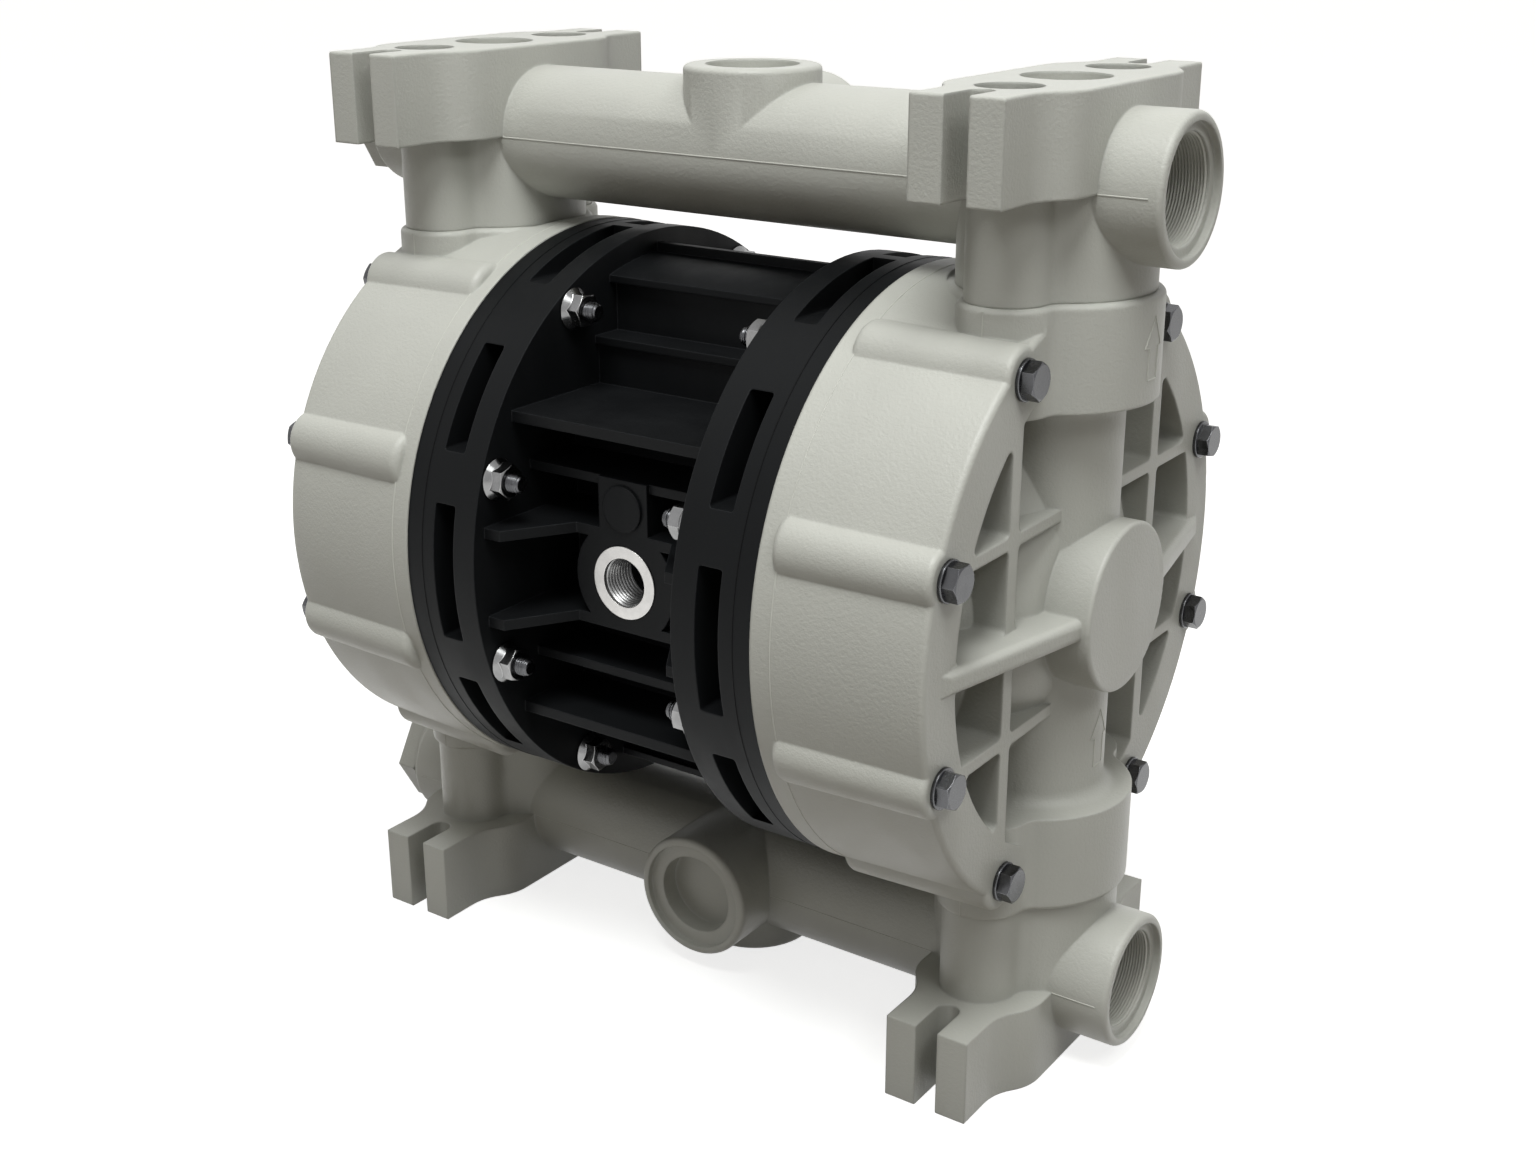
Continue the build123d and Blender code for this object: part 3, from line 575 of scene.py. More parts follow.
@dataclass(frozen=True)
class SoftPolymer(Finish):
    """Rubber or fluoropolymer: waxy or matt, with a faint surface."""

    rough: float = 0.45
    specular: float = 0.4
    edge: float = 0.3 * MM
    mottle_scale: float = 90.0
    skin_scale: float = 700.0
    skin_depth: float = 0.02 * MM

    def lay(self, sheet: NodeSheet) -> None:
        """Lays faint mottling and a fine surface.

        Args:
            sheet: The material under construction.
        """
        mottle = sheet.noise(self.mottle_scale, 4.0, 0.6)
        tone = sheet.remap(mottle, 0.35, 0.65)
        skin = sheet.noise(self.skin_scale, 3.0)
        sheet.set(Base_Color=sheet.blend(tone, self.shade(0.93), self.shade(1.05)),
                  Roughness=sheet.remap(mottle, 0.3, 0.7, self.rough - 0.06, self.rough + 0.06),
                  Normal=sheet.bump(skin, self.skin_depth, 0.4, sheet.soft_edge(self.edge)),
                  Specular_IOR_Level=self.specular)


LIGHT_PLASTIC = MouldedPlastic("light_moulded_plastic", "light_plastic", (0.602, 0.606, 0.565))
# A lighter copy of the light plastic: painted highlight on the raised lines, arrows and threads.
LIGHT_PLASTIC_PAINTED_LIT = MouldedPlastic("light_plastic_painted_lit", "light_plastic", (0.66, 0.665, 0.62),
                              grain=0.03 * MM, edge=0.15 * MM, soil_and_shade=0.0, recess_shade=0.2)
BLACK_PLASTIC = MouldedPlastic("black_moulded_plastic", "black_plastic",
                               (0.0066, 0.0072, 0.0080), rough=0.5, grain=0.06 * MM,
                               grain_scale=1400.0, edge=0.8 * MM, cloud=0.14, specular=0.11,
                               soil_and_shade=0.3, recess_shade=0.0, wear=3.4)
# A darker copy of the black plastic: painted shade along the line on the flange.
BLACK_PLASTIC_PAINTED_DARK = MouldedPlastic("black_plastic_painted_dark", "black_plastic", (0.0030, 0.0032, 0.0036),
                              rough=0.5, grain=0.03 * MM, edge=0.15 * MM, specular=0.1, soil_and_shade=0.0,
                              recess_shade=0.0, wear=1.5)
# Tint far below steel's own: painted dark reflections on the bolts, washers and shaft.
STAINLESS_PAINTED_DARK = BrightMetal("stainless_steel_painted_dark", "stainless", (0.098, 0.099, 0.104), wear=2.4)
# Lighter than the bolt steel to paint brighter reflections on the nuts; still far below steel's
# own tint, so painted dark reflections too.
NUT_STEEL_PAINTED_REFLECTIONS = BrightMetal("nut_steel_painted_reflections", "stainless", (0.26, 0.26, 0.262), rough=0.16, wear=2.0)
THREAD_STEEL = BrightMetal("threaded_steel", "stainless", (0.42, 0.42, 0.42), rough=0.28,
                           edge=0.1 * MM)
FACED_STEEL = FacedMetal("faced_steel", "stainless", (0.56, 0.55, 0.54), rough=0.3)
BRASS = BrightMetal("turned_brass", "brass", (0.72, 0.54, 0.26), rough=0.26)
ALUMINIUM = BrightMetal("machined_aluminium", "aluminium", (0.68, 0.69, 0.70), rough=0.32)
BRONZE = SinteredBronze("sintered_bronze", "sintered_bronze", (0.50, 0.36, 0.20))
WHITE_POLYMER = SoftPolymer("white_polymer", "white_polymer", (0.82, 0.82, 0.79), rough=0.35)
RUBBER = SoftPolymer("black_rubber", "rubber", (0.018, 0.018, 0.019), rough=0.6, specular=0.3)


@dataclass(frozen=True)
class RaisedLine:
    """Cross section of a low raised line on a moulded surface."""

    width: float
    height: float
    sink: float = 0.15 * MM


MOULD_LINE = RaisedLine(0.7 * MM, 0.2 * MM)
ARROW_LINE = RaisedLine(0.8 * MM, 0.3 * MM)


def along(axis: Sequence[float], origin: Sequence[float]) -> Matrix:
    """A frame whose Z axis points along a direction.

    Args:
        axis: Direction of the local Z axis.
        origin: Where the frame stands.

    Returns:
        The frame as a matrix.
    """
    turn = Vector(axis).to_track_quat("Z", "Y").to_matrix()
    return Matrix.Translation(Vector(origin)) @ turn.to_4x4()


def circle(radius: float, height: float, steps: int, place: Matrix) -> list[Vector]:
    """Points of a circle about the local Z axis.

    Args:
        radius: Its radius.
        height: Its height on the local Z axis.
        steps: Points round a full turn.
        place: The local frame.

    Returns:
        The points.
    """
    turns = [math.tau * i / steps for i in range(steps)]
    return [place @ Vector((radius * math.cos(turn), radius * math.sin(turn), height))
            for turn in turns]


class MeshDraft:
    """A mesh under construction."""

    def __init__(self) -> None:
        """Starts an empty mesh."""
        self.mesh = bmesh.new()

    def loops(self, loops: Sequence[Sequence[Vector]], closed: bool = False) -> None:
        """Skins a row of round point loops with faces.

        Args:
            loops: Loops with the same number of points each.
            closed: Whether the last loop joins the first. If not, both ends get a cap.
        """
        rows = [[self.mesh.verts.new(point) for point in loop] for loop in loops]
        following = rows[1:] + rows[:1] if closed else rows[1:]
        for near, far in zip(rows, following):
            for i in range(len(near)):
                j = (i + 1) % len(near)
                self.mesh.faces.new((near[i], near[j], far[j], far[i]))
        if not closed:
            self.mesh.faces.new(list(reversed(rows[0])))
            self.mesh.faces.new(rows[-1])

    def lathe(self, outline: Sequence[tuple[float, float]], steps: int, place: Matrix,
              closed: bool = False) -> None:
        """Turns an outline of radius and height about the local Z axis.

        Args:
            outline: Pairs of radius and height, from one end to the other.
            steps: Points round a full turn.
            place: Where the piece goes.
            closed: Whether the outline closes round a hole.
        """
        self.loops([circle(radius, height, steps, place) for radius, height in outline], closed)

    def bead(self, points: Sequence[Vector], normals: Sequence[Vector], line: RaisedLine,
             closed: bool = False) -> None:
        """Lays a low raised line along points on a surface.

        Args:
            points: Points on the surface.
            normals: Outward direction at each point.
            line: The line's cross section.
            closed: Whether the line joins up with its start.
        """
        count = len(points)
        loops = []
        for i, (point, normal) in enumerate(zip(points, normals)):
            before = points[(i - 1) % count] if closed or i else point
            after = points[(i + 1) % count] if closed or i < count - 1 else point
            across = (after - before).normalized().cross(normal).normalized()
            foot, crest = across * line.width / 2, across * line.width / 4
            low, high = normal * line.sink, normal * line.height
            loops.append([point - foot - low, point - crest + high,
                          point + crest + high, point + foot - low])
        self.loops(loops, closed)

    def finish(self, name: str, finish: Finish, body: str | None = FIXED_BODY,
               smooth: float = 32.0) -> bpy.types.Object:
        """Turns the draft into a piece of the pump.

        Args:
            name: The piece's name.
            finish: Its finish.
            body: The body that it rides on, or None to leave it unattached.
            smooth: Angle in degrees over which an edge stays sharp.

        Returns:
            The new object.
        """
        bmesh.ops.recalc_face_normals(self.mesh, faces=self.mesh.faces)
        mesh = bpy.data.meshes.new(name)
        self.mesh.to_mesh(mesh)
        self.mesh.free()
        mesh.polygons.foreach_set("use_smooth", [True] * len(mesh.polygons))
        mesh.set_sharp_from_angle(angle=math.radians(smooth))
        piece = put_in_scene(name, mesh)
        piece.data.materials.append(finish.build())
        if body is not None:
            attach(piece, body)
        log.info("%s: %d faces", name, len(mesh.polygons))
        return piece


@dataclass(frozen=True)
class ScrewThread:
    """A screw thread wound about the local Z axis, from z = 0."""

    root: float
    crest: float
    pitch: float
    length: float
    steps: int = 60
    fade: float = 0.7
    start: float = 0.02
    least: float = 0.03
    crest_half: float = 0.1

    def wind(self, draft: MeshDraft, place: Matrix) -> None:
        """Winds the ridge into a mesh, fading out at both ends.

        Args:
            draft: The mesh to add to.
            place: Where the thread starts, with its axis along local Z.
        """
        turns = self.length / self.pitch - 1.0
        loops = []
        for i in range(int(turns * self.steps) + 1):
            turn = i / self.steps
            rise = min(1.0, (turn + self.start) / self.fade,
                       (turns - turn + self.start) / self.fade)
            crest = self.root + (self.crest - self.root) * max(rise, self.least)
            middle = (turn + 0.5) * self.pitch
            around = Vector((math.cos(math.tau * turn), math.sin(math.tau * turn), 0))
            section = ((self.root, -0.5), (crest, -self.crest_half),
                       (crest, self.crest_half), (self.root, 0.5))
            loops.append([place @ (around * radius + Vector((0, 0, middle + part * self.pitch)))
                          for radius, part in section])
        draft.loops(loops)


@dataclass(frozen=True)
class HexHead:
    """A hexagon bolt head or nut with the curved edges that a cone leaves on its corners."""

    across: float
    height: float
    bore: float = OVERLAP
    cone_share: float = 0.97
    lean: float = 30.0
    steps: int = 96

    def shape(self, draft: MeshDraft, place: Matrix) -> None:
        """Adds the head to a mesh, standing on local z = 0.

        Args:
            draft: The mesh to add to.
            place: Where the head goes.
        """
        flat = self.across / 2 * self.cone_share
        slope = -math.tan(math.radians(self.lean))
        draft.loops([
            circle(self.bore, self.height, self.steps, place),
            circle(flat, self.height, self.steps, place),
            self.sides(place, self.height, flat, slope),
            self.sides(place, 0.0, flat, 0.0),
            circle(flat, 0.0, self.steps, place),
            circle(self.bore, 0.0, self.steps, place),
        ], closed=True)

    def sides(self, place: Matrix, height: float, flat: float, slope: float) -> list[Vector]:
        """A loop along the hexagon's sides that falls or rises towards the corners.

        Args:
            place: Where the head goes.
            height: Height above the head's seat.
            flat: Radius that the height holds at.
            slope: Rise for each metre that a corner lies further out.

        Returns:
            The loop's points.
        """
        sector = math.tau / 6
        loop = []
        for i in range(self.steps):
            turn = math.tau * i / self.steps
            reach = self.across / 2 / math.cos((turn % sector) - sector / 2)
            loop.append(place @ Vector((reach * math.cos(turn), reach * math.sin(turn),
                                        height + (reach - flat) * slope)))
        return loop


@dataclass
class CasingScrews:
    """Hexagon bolts, washers and flange nuts that hold one casing to the centre block."""

    side: Side
    across: float = 13.0 * MM
    head_height: float = 5.3 * MM
    head_overlap: float = 0.2 * MM
    washer_r: float = 8.0 * MM
    washer_bore: float = 4.2 * MM
    washer_thickness: float = 1.6 * MM
    washer_edge: float = 0.25 * MM
    shank_r: float = 4.0 * MM
    root_r: float = 3.4 * MM
    pitch: float = 1.25 * MM
    length: float = 125.0 * MM
    thread_length: float = 22.0 * MM
    thread_start: float = 0.3 * MM
    tip_chamfer: float = 0.5 * MM
    nut_height: float = 8.0 * MM
    nut_foot: float = 1.0 * MM
    flange_r: float = 8.95 * MM
    flange_height: float = 3.2 * MM
    flange_edge: float = 0.4 * MM
    first_spin: float = 17.0
    next_spin: float = 47.0
    side_spin: float = 9.0
    shank_steps: int = 32
    rim_steps: int = 64

    def stations(self) -> Iterator[Matrix]:
        """Frames at the screws, with local Z out of the pump and each screw turned its own way.

        Yields:
            The frame of each screw, at the pump's middle.
        """
        for number, (y, z) in enumerate(LAYOUT.bolt_places()):
            turn = self.first_spin + self.next_spin * number + self.side_spin * self.side.value
            spin = Matrix.Rotation(math.radians(turn), 4, "Z")
            yield along((self.side.value, 0, 0), (0, y, z)) @ spin

    def make_bolts(self) -> None:
        """The bolts, with a threaded end that shows past the nuts."""
        draft = MeshDraft()
        seat = LAYOUT.cover_x + self.washer_thickness
        tip = seat - self.length
        shoulder = tip + self.thread_length
        shank = [(self.shank_r, seat + self.head_overlap), (self.shank_r, shoulder)]
        core = [(self.root_r, shoulder + MM), (self.root_r, tip + self.tip_chamfer),
                (self.root_r - self.tip_chamfer, tip)]
        head = HexHead(self.across, self.head_height)
        thread = ScrewThread(self.root_r - OVERLAP, self.shank_r, self.pitch,
                             self.thread_length, self.shank_steps)
        for station in self.stations():
            head.shape(draft, station @ Matrix.Translation((0, 0, seat)))
            draft.lathe(shank, self.shank_steps, station)
            draft.lathe(core, self.shank_steps, station)
            thread.wind(draft, station @ Matrix.Translation((0, 0, tip + self.thread_start)))
        piece = draft.finish(f"bolts_{self.side.word}", STAINLESS_PAINTED_DARK, smooth=24)
        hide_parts(f"casing_bolts_{self.side.word}")

    def make_washers(self) -> None:
        """The washers under the bolt heads, with rounded rims."""
        draft = MeshDraft()
        rim, top = self.washer_edge, self.washer_thickness
        outline = [(self.washer_bore, 0.0), (self.washer_r - rim, 0.0), (self.washer_r, rim),
                   (self.washer_r, top - rim), (self.washer_r - rim, top),
                   (self.washer_bore, top)]
        for station in self.stations():
            place = station @ Matrix.Translation((0, 0, LAYOUT.cover_x))
            draft.lathe(outline, self.rim_steps, place, closed=True)
        piece = draft.finish(f"washers_{self.side.word}", STAINLESS_PAINTED_DARK)
        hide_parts(f"casing_washers_{self.side.word}")

    def make_nuts(self) -> None:
        """The flange nuts at the other end, seated on the block's flange."""
        draft = MeshDraft()
        nut = HexHead(self.across, self.nut_height - self.nut_foot, self.shank_r - OVERLAP)
        edge = self.flange_edge
        outline = [(self.shank_r, 0.0), (self.flange_r - edge, 0.0), (self.flange_r, edge),
                   (self.flange_r, 2 * edge), (self.flange_r - edge, 3 * edge),
                   (self.across / 2, self.flange_height), (self.shank_r, self.flange_height)]
        seat = (Matrix.Translation((0, 0, LAYOUT.flange_inner_x))
                @ Matrix.Rotation(math.pi, 4, "X"))
        for station in self.stations():
            nut.shape(draft, station @ seat @ Matrix.Translation((0, 0, self.nut_foot)))
            draft.lathe(outline, self.rim_steps, station @ seat)
        piece = draft.finish(f"nuts_{self.side.word}", NUT_STEEL_PAINTED_REFLECTIONS, smooth=24)
        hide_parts(f"casing_nuts_{self.side.word}")

    def build(self) -> None:
        """Makes all the screws of this side."""
        self.make_bolts()
        self.make_washers()
        self.make_nuts()


@dataclass
class Manifold:
    """Looks of the suction or delivery manifold: parting lines and port threads."""

    level: Level
    tube_r: float = 28.5 * MM
    port_x: float = 194.4 * MM
    lip_depth: float = 3.0 * MM
    bore_r: float = 20.955 * MM
    thread_crest: float = 20.3 * MM
    thread_pitch: float = 1.25 * MM
    thread_length: float = 25.0 * MM
    thread_steps: int = 72
    block_x: float = 170.0 * MM
    waist_x: float = 112.8 * MM
    end_gap: float = 5.0 * MM

    @property
    def axis_z(self) -> float:
        """Height of the tube's axis above the floor."""
        return LAYOUT.axis_height + self.level.value * LAYOUT.port_axis

    def make_parting_lines(self) -> None:
        """Raised lines at mid height, where the mould's halves met."""
        draft = MeshDraft()
        stretches = ((-self.port_x + self.end_gap, -self.block_x), (-self.waist_x, self.waist_x),
                     (self.block_x, self.port_x - self.end_gap))
        for hand in (-1, 1):
            for start, end in stretches:
                points = [Vector((x, hand * self.tube_r, self.axis_z))
                          for x in (start, (start + end) / 2, end)]
                draft.bead(points, [Vector((0, hand, 0))] * 3, MOULD_LINE)
        draft.finish(f"parting_lines_{self.level.word}", LIGHT_PLASTIC_PAINTED_LIT)

    def make_port_thread(self) -> None:
        """The pipe thread in the open port."""
        draft = MeshDraft()
        thread = ScrewThread(self.bore_r + OVERLAP, self.thread_crest, self.thread_pitch,
                             self.thread_length, self.thread_steps)
        start = self.port_x - self.lip_depth - self.thread_length
        thread.wind(draft, along((1, 0, 0), (start, 0, self.axis_z)))
        draft.finish(f"port_thread_{self.level.word}", LIGHT_PLASTIC_PAINTED_LIT, smooth=50)

    def build(self) -> None:
        """Makes the manifold's pieces."""
        self.make_parting_lines()
        self.make_port_thread()


@dataclass(frozen=True)
class FlowArrow:
    """An outlined arrow that points up, measured from its tip."""

    half_head: float = 6.6 * MM
    half_shaft: float = 3.6 * MM
    head_length: float = 11.5 * MM
    length: float = 24.0 * MM
    steps: int = 4

    def outline(self) -> list[tuple[float, float]]:
        """Points round the arrow.

        Returns:
            Pairs of the distance across from the tip and the height above it.
        """
        wing, shaft = self.half_head, self.half_shaft
        head, tail = -self.head_length, -self.length
        corners = [(0.0, 0.0), (-wing, head), (-shaft, head), (-shaft, tail), (shaft, tail),
                   (shaft, head), (wing, head)]
        return [(u0 + (u1 - u0) * step / self.steps, v0 + (v1 - v0) * step / self.steps)
                for (u0, v0), (u1, v1) in zip(corners, corners[1:] + corners[:1])
                for step in range(self.steps)]


@dataclass
class Casing:
    """Looks of one casing: mould lines on its rim and collars, and flow arrows.

    The line on the rim of the block's flange is made here too.
    """

    side: Side
    line_x: float = 96.0 * MM
    flange_line_x: float = 79.0 * MM
    ring_steps: int = 240
    collar_front: float = 57.5 * MM
    collar_low: float = 83.0 * MM
    collar_high: float = 124.0 * MM
    collar_r: float = 41.6 * MM
    collar_arrow: float = 116.3 * MM
    column_r: float = 29.5 * MM
    column_arrow: float = -46.0 * MM

    def ring_line(self, name: str, x: float, radius: float, finish: Finish) -> None:
        """A fine raised line round the pump's axis.

        Args:
            name: Start of the piece's name.
            x: Distance from the pump's middle.
            radius: Radius of the surface that it lies on.
            finish: Its finish.
        """
        draft = MeshDraft()
        centre = Vector((self.side.value * x, 0, LAYOUT.axis_height))
        turns = [math.tau * i / self.ring_steps for i in range(self.ring_steps)]
        normals = [Vector((0, math.sin(turn), math.cos(turn))) for turn in turns]
        points = [centre + normal * radius for normal in normals]
        draft.bead(points, normals, MOULD_LINE, closed=True)
        draft.finish(f"{name}_{self.side.word}", finish)

    def make_ring_lines(self) -> None:
        """The line round the drum and the line round the block's flange."""
        share = (self.line_x - LAYOUT.joint_x) / (LAYOUT.cover_x - LAYOUT.joint_x)
        radius = LAYOUT.cover_joint_r + (LAYOUT.cover_face_r - LAYOUT.cover_joint_r) * share
        self.ring_line("rim_line", self.line_x, radius, LIGHT_PLASTIC_PAINTED_LIT)
        self.ring_line("flange_line", self.flange_line_x, LAYOUT.flange_r, BLACK_PLASTIC_PAINTED_DARK)

    def make_arrows(self) -> None:
        """The flow arrows on the upper collar and on the lower column."""
        draft = MeshDraft()
        side = self.side.value
        outline = FlowArrow().outline()
        for radius, tip in ((self.collar_r, self.collar_arrow),
                            (self.column_r, self.column_arrow)):
            points = []
            normals = []
            for across, up in outline:
                turn = across / radius * side
                normal = Vector((side * math.cos(turn), math.sin(turn), 0))
                middle = Vector((side * LAYOUT.valve_x, 0, LAYOUT.axis_height + (tip + up)))
                points.append(middle + normal * radius)
                normals.append(normal)
            draft.bead(points, normals, ARROW_LINE, closed=True)
        draft.finish(f"flow_arrows_{self.side.word}", LIGHT_PLASTIC_PAINTED_LIT)

    def make_collar_lines(self) -> None:
        """The upright mould lines on the front and back of the collars."""
        draft = MeshDraft()
        x = self.side.value * LAYOUT.valve_x
        heights = (self.collar_low, (self.collar_low + self.collar_high) / 2,
                   self.collar_high - MM)
        for hand in (-1, 1):
            for level in Level:
                points = [Vector((x, hand * self.collar_front,
                                  LAYOUT.axis_height + level.value * z)) for z in heights]
                draft.bead(points, [Vector((0, hand, 0))] * 3, MOULD_LINE)
        draft.finish(f"collar_lines_{self.side.word}", LIGHT_PLASTIC_PAINTED_LIT)

    def build(self) -> None:
        """Makes the casing's pieces."""
        self.make_ring_lines()
        self.make_collar_lines()
        self.make_arrows()


@dataclass
class Diaphragm:
    """A diaphragm cut into wedges round its axis."""

    side: Side
    kind: str
    finish: Finish
    hub_r: float = 62.0 * MM
    rim_r: float = 99.5 * MM
    wedges: int = 8
    first: float = 0.37

    def direction(self, number: float) -> Vector:
        """Direction away from the axis, at a number of wedges round it."""
        turn = math.tau * (number + self.first) / self.wedges
        return Vector((0, math.cos(turn), math.sin(turn)))

    def cut_wedge(self, solid: bpy.types.Object, number: int) -> None:
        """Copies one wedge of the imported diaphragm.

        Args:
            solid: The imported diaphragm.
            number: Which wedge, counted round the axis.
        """
        axis = Vector((self.side.value * LAYOUT.joint_x, 0, LAYOUT.axis_height))
        draft = MeshDraft()
        draft.mesh.from_mesh(solid.data)
        bmesh.ops.remove_doubles(draft.mesh, verts=draft.mesh.verts, dist=WELD)
        for border, keep in ((number, 1), (number + 1, -1)):
            across = Vector((1, 0, 0)).cross(self.direction(border)) * keep
            parts = draft.mesh.verts[:] + draft.mesh.edges[:] + draft.mesh.faces[:]
            cut = bmesh.ops.bisect_plane(draft.mesh, geom=parts, plane_co=axis, plane_no=across,
                                         clear_inner=True)
            rims = [part for part in cut["geom_cut"] if isinstance(part, bmesh.types.BMEdge)]
            bmesh.ops.holes_fill(draft.mesh, edges=rims)
        piece = draft.finish(f"{solid.name}_wedge_{number + 1}", self.finish, body=None)
        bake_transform(piece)
        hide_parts(solid.name)

    def build(self, nodes: dict[str, bpy.types.Object]) -> None:
        """Makes all the wedges.

        Args:
            nodes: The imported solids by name.
        """
        solid = nodes[f"{self.kind}_diaphragm_{self.side.word}"]
        for number in range(self.wedges):
            self.cut_wedge(solid, number)


@dataclass
class AirInlet:
    """The thread in the air inlet's bush."""

    face_y: float = -91.6 * MM
    bore_r: float = 10.478 * MM
    crest_r: float = 9.7 * MM
    pitch: float = 1.814 * MM
    length: float = 20.0 * MM

    def build(self) -> None:
        """Winds the thread from the bush's face inwards."""
        draft = MeshDraft()
        thread = ScrewThread(self.bore_r + OVERLAP, self.crest_r, self.pitch, self.length)
        thread.wind(draft, along((0, 1, 0), (0, self.face_y, LAYOUT.axis_height)))
        draft.finish("inlet_thread", THREAD_STEEL, smooth=50)


@dataclass(frozen=True)
class Dressing:
    """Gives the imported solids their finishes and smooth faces."""

    finishes: tuple[tuple[Finish, tuple[str, ...]], ...] = (
        (LIGHT_PLASTIC, ("casing_left", "casing_right", "manifold", "valve_seat", "ball_cage")),
        (BLACK_PLASTIC, ("centre_block", "channel_plug")),
        (FACED_STEEL, ("air_inlet_bush",)),
        (STAINLESS_PAINTED_DARK, ("casing_", "manifold_bolts", "manifold_washers", "diaphragm_shaft")),
        (BRASS, ("manifold_inserts", "shaft_bush", "valve_sleeve")),
        (ALUMINIUM, ("inner_plate", "valve_spool")),
        (BRONZE, ("exhaust_silencer",)),
        (WHITE_POLYMER, ("outer_plate", "fluid_diaphragm", "valve_ball", "seat_seal")),
        (RUBBER, ("backup_diaphragm", "plug_gasket", "shaft_seal", "sleeve_seals",
                  "spool_seals")),
    )
    sharp: float = 28.0

    def finish_of(self, node: str) -> Finish:
        """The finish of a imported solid.

        Args:
            node: The solid's name.

        Returns:
            The finish with the longest matching name.
        """
        matches = [(len(start), finish) for finish, starts in self.finishes for start in starts
                   if node.startswith(start)]
        return max(matches, key=lambda match: match[0])[1]

    def smoothing(self) -> bpy.types.NodeTree:
        """A node group that welds a mesh and shades it smooth up to an angle.

        Returns:
            The geometry node group.
        """
        tree = bpy.data.node_groups.new("smooth_faces", "GeometryNodeTree")
        for way in ("INPUT", "OUTPUT"):
            tree.interface.new_socket("Geometry", in_out=way, socket_type="NodeSocketGeometry")
        work = NodeWork(tree)
        start = work.add("NodeGroupInput").outputs[0]
        welded = work.add("GeometryNodeMergeByDistance",
                          {"Geometry": start, "Distance": WELD}).outputs[0]
        smooth = work.add("GeometryNodeSetShadeSmooth", {"Geometry": welded}).outputs[0]
        angle = work.add("GeometryNodeInputMeshEdgeAngle").outputs["Unsigned Angle"]
        sharp = work.maths("GREATER_THAN", angle, math.radians(self.sharp))
        edges = {"Geometry": smooth, "Selection": sharp, "Shade Smooth": False}
        end = work.add("GeometryNodeSetShadeSmooth", edges, domain="EDGE").outputs[0]
        work.add("NodeGroupOutput", {0: end})
        return tree

    def apply(self, nodes: dict[str, bpy.types.Object]) -> None:
        """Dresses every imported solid.

        Args:
            nodes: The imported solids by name.
        """
        tree = self.smoothing()
        for name, solid in nodes.items():
            solid.data.materials.clear()
            solid.data.materials.append(self.finish_of(name).build())
            solid.data.polygons.foreach_set("material_index", [0] * len(solid.data.polygons))
            baked = solid.data.attributes.get("custom_normal")
            if baked is not None:
                solid.data.attributes.remove(baked)
            modifier = solid.modifiers.new("smooth_faces", "NODES")
            modifier.node_group = tree
        log.info("dressed %d packed solids", len(nodes))


@dataclass(frozen=True)
class Lamp:
    """A round soft lamp that points at the pump's middle."""

    name: str
    place: Triple
    size: float
    power: float
    tint: Colour = (0.98, 1.0, 0.985)

    def hang(self) -> None:
        """Hangs the lamp."""
        data = bpy.data.lights.new(self.name, "AREA")
        data.shape = "DISK"
        data.size = self.size
        data.energy = self.power
        data.color = self.tint
        lamp = put_in_scene(self.name, data)
        lamp.location = self.place
        lamp.rotation_mode = "QUATERNION"
        aim = Vector((0, 0, LAYOUT.axis_height)) - Vector(self.place)
        lamp.rotation_quaternion = aim.to_track_quat("-Z", "Y")


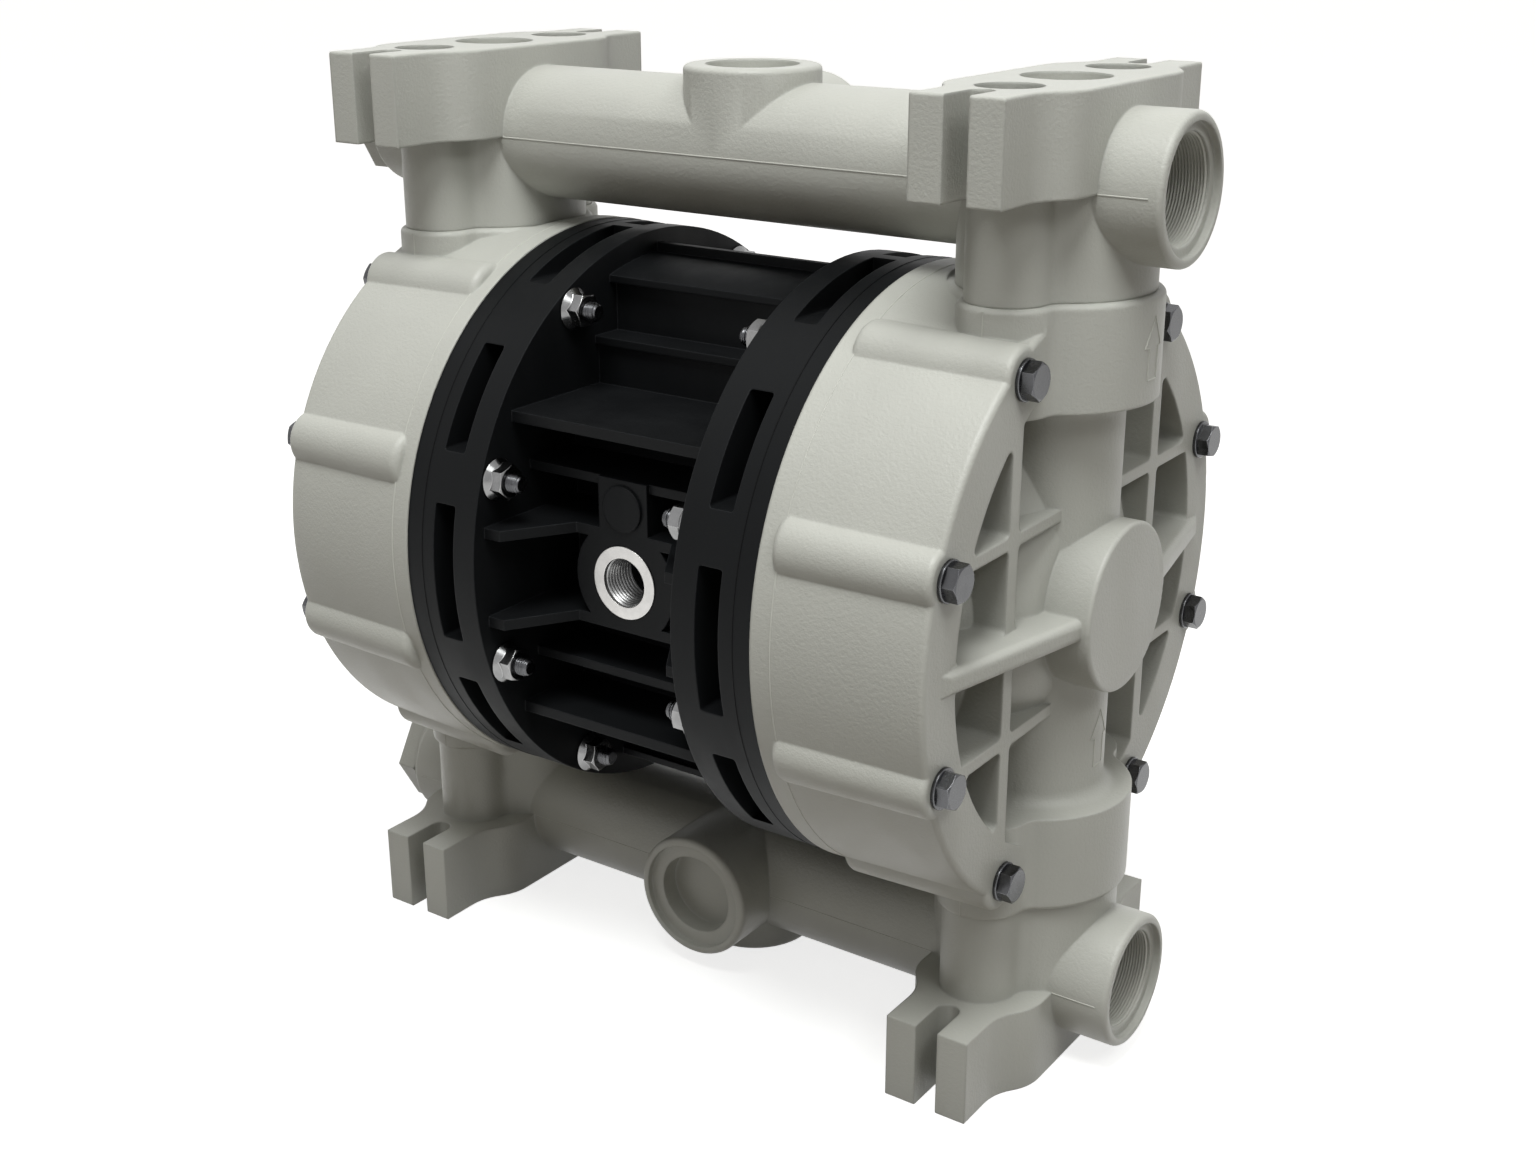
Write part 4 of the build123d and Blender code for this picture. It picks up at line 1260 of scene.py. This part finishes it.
@dataclass
class Studio:
    """Camera, pale floor, soft light and white surroundings."""

    camera_place: Triple = (0.46825, -0.66084, 0.47053)
    camera_right: Triple = (0.82036, 0.57185, -0.00029)
    camera_up: Triple = (-0.19469, 0.27977, 0.94012)
    camera_ahead: Triple = (-0.53769, 0.77118, -0.34084)
    lens: float = 45.18
    sensor: float = 36.0
    lamps: tuple[Lamp, ...] = (
        Lamp("key", (0.32, -0.7, 2.05), 0.9, 26.5),
        Lamp("right", (1.3, -0.45, 1.6), 0.7, 5.2),
    )
    floor_reach: float = 14.0
    floor_glow: float = 0.76
    floor_seen: Colour = (0.80, 0.80, 0.80)
    floor_unseen: Colour = (0.20, 0.18, 0.155)
    sky_tint: Colour = (0.79, 0.765, 0.70)
    sky_start: float = 0.05
    sky_low: float = 0.01
    sky_high: float = 0.55

    def place_camera(self) -> None:
        """Sets up the camera at the photograph's viewpoint."""
        data = bpy.data.cameras.new("viewpoint")
        data.lens = self.lens
        data.sensor_width = self.sensor
        camera = put_in_scene("viewpoint", data)
        back = [-part for part in self.camera_ahead]
        turn = Matrix((self.camera_right, self.camera_up, back)).transposed()
        camera.matrix_world = Matrix.Translation(self.camera_place) @ turn.to_4x4()
        bpy.context.scene.camera = camera

    def lay_floor(self) -> None:
        """Lays a pale floor that shows white and keeps the pump's shadow."""
        draft = bmesh.new()
        bmesh.ops.create_grid(draft, x_segments=8, y_segments=8, size=self.floor_reach)
        mesh = bpy.data.meshes.new("floor")
        draft.to_mesh(mesh)
        draft.free()
        floor = put_in_scene("floor", mesh)
        sheet = NodeSheet("pale_floor")
        seen = sheet.seen_directly()
        sheet.set(Base_Color=sheet.blend(seen, self.floor_unseen, self.floor_seen),
                  Emission_Color=(1, 1, 1, 1),
                  Emission_Strength=sheet.times(seen, self.floor_glow),
                  Roughness=0.9, Specular_IOR_Level=0.1)
        mesh.materials.append(sheet.material)

    def fill_world(self) -> None:
        """Fills the surroundings: white to the lens, and soft light mostly from above."""
        world = bpy.data.worlds.new("studio")
        bpy.context.scene.world = world
        world.use_nodes = True
        sky = NodeWork(world.node_tree)
        place = sky.add("ShaderNodeTexCoord").outputs["Generated"]
        height = sky.add("ShaderNodeSeparateXYZ", {"Vector": place}).outputs["Z"]
        rise = sky.remap(height, self.sky_start, 1.0, self.sky_low, self.sky_high)
        light = sky.add("ShaderNodeBackground", {"Color": (*self.sky_tint, 1), "Strength": rise})
        white = sky.add("ShaderNodeBackground", {"Color": (1, 1, 1, 1)})
        mix = sky.add("ShaderNodeMixShader", {"Fac": sky.seen_directly(), 1: light.outputs[0],
                                              2: white.outputs[0]})
        sky.add("ShaderNodeOutputWorld", {"Surface": mix.outputs["Shader"]})

    def build(self) -> None:
        """Sets up the whole studio."""
        self.place_camera()
        self.lay_floor()
        for lamp in self.lamps:
            lamp.hang()
        self.fill_world()
        bpy.context.scene.view_settings.view_transform = "Standard"


def main() -> None:
    """Builds the studio and dresses the pump, piece by piece."""
    logging.basicConfig(level=logging.INFO, format="%(name)s: %(message)s")
    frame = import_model()
    Studio().build()
    Dressing().apply(frame["nodes"])
    for side in Side:
        CasingScrews(side).build()
        Casing(side).build()
        Diaphragm(side, "fluid", WHITE_POLYMER).build(frame["nodes"])
        Diaphragm(side, "backup", RUBBER).build(frame["nodes"])
    for level in Level:
        Manifold(level).build()
    AirInlet().build()


if __name__ == "__main__":
    main()
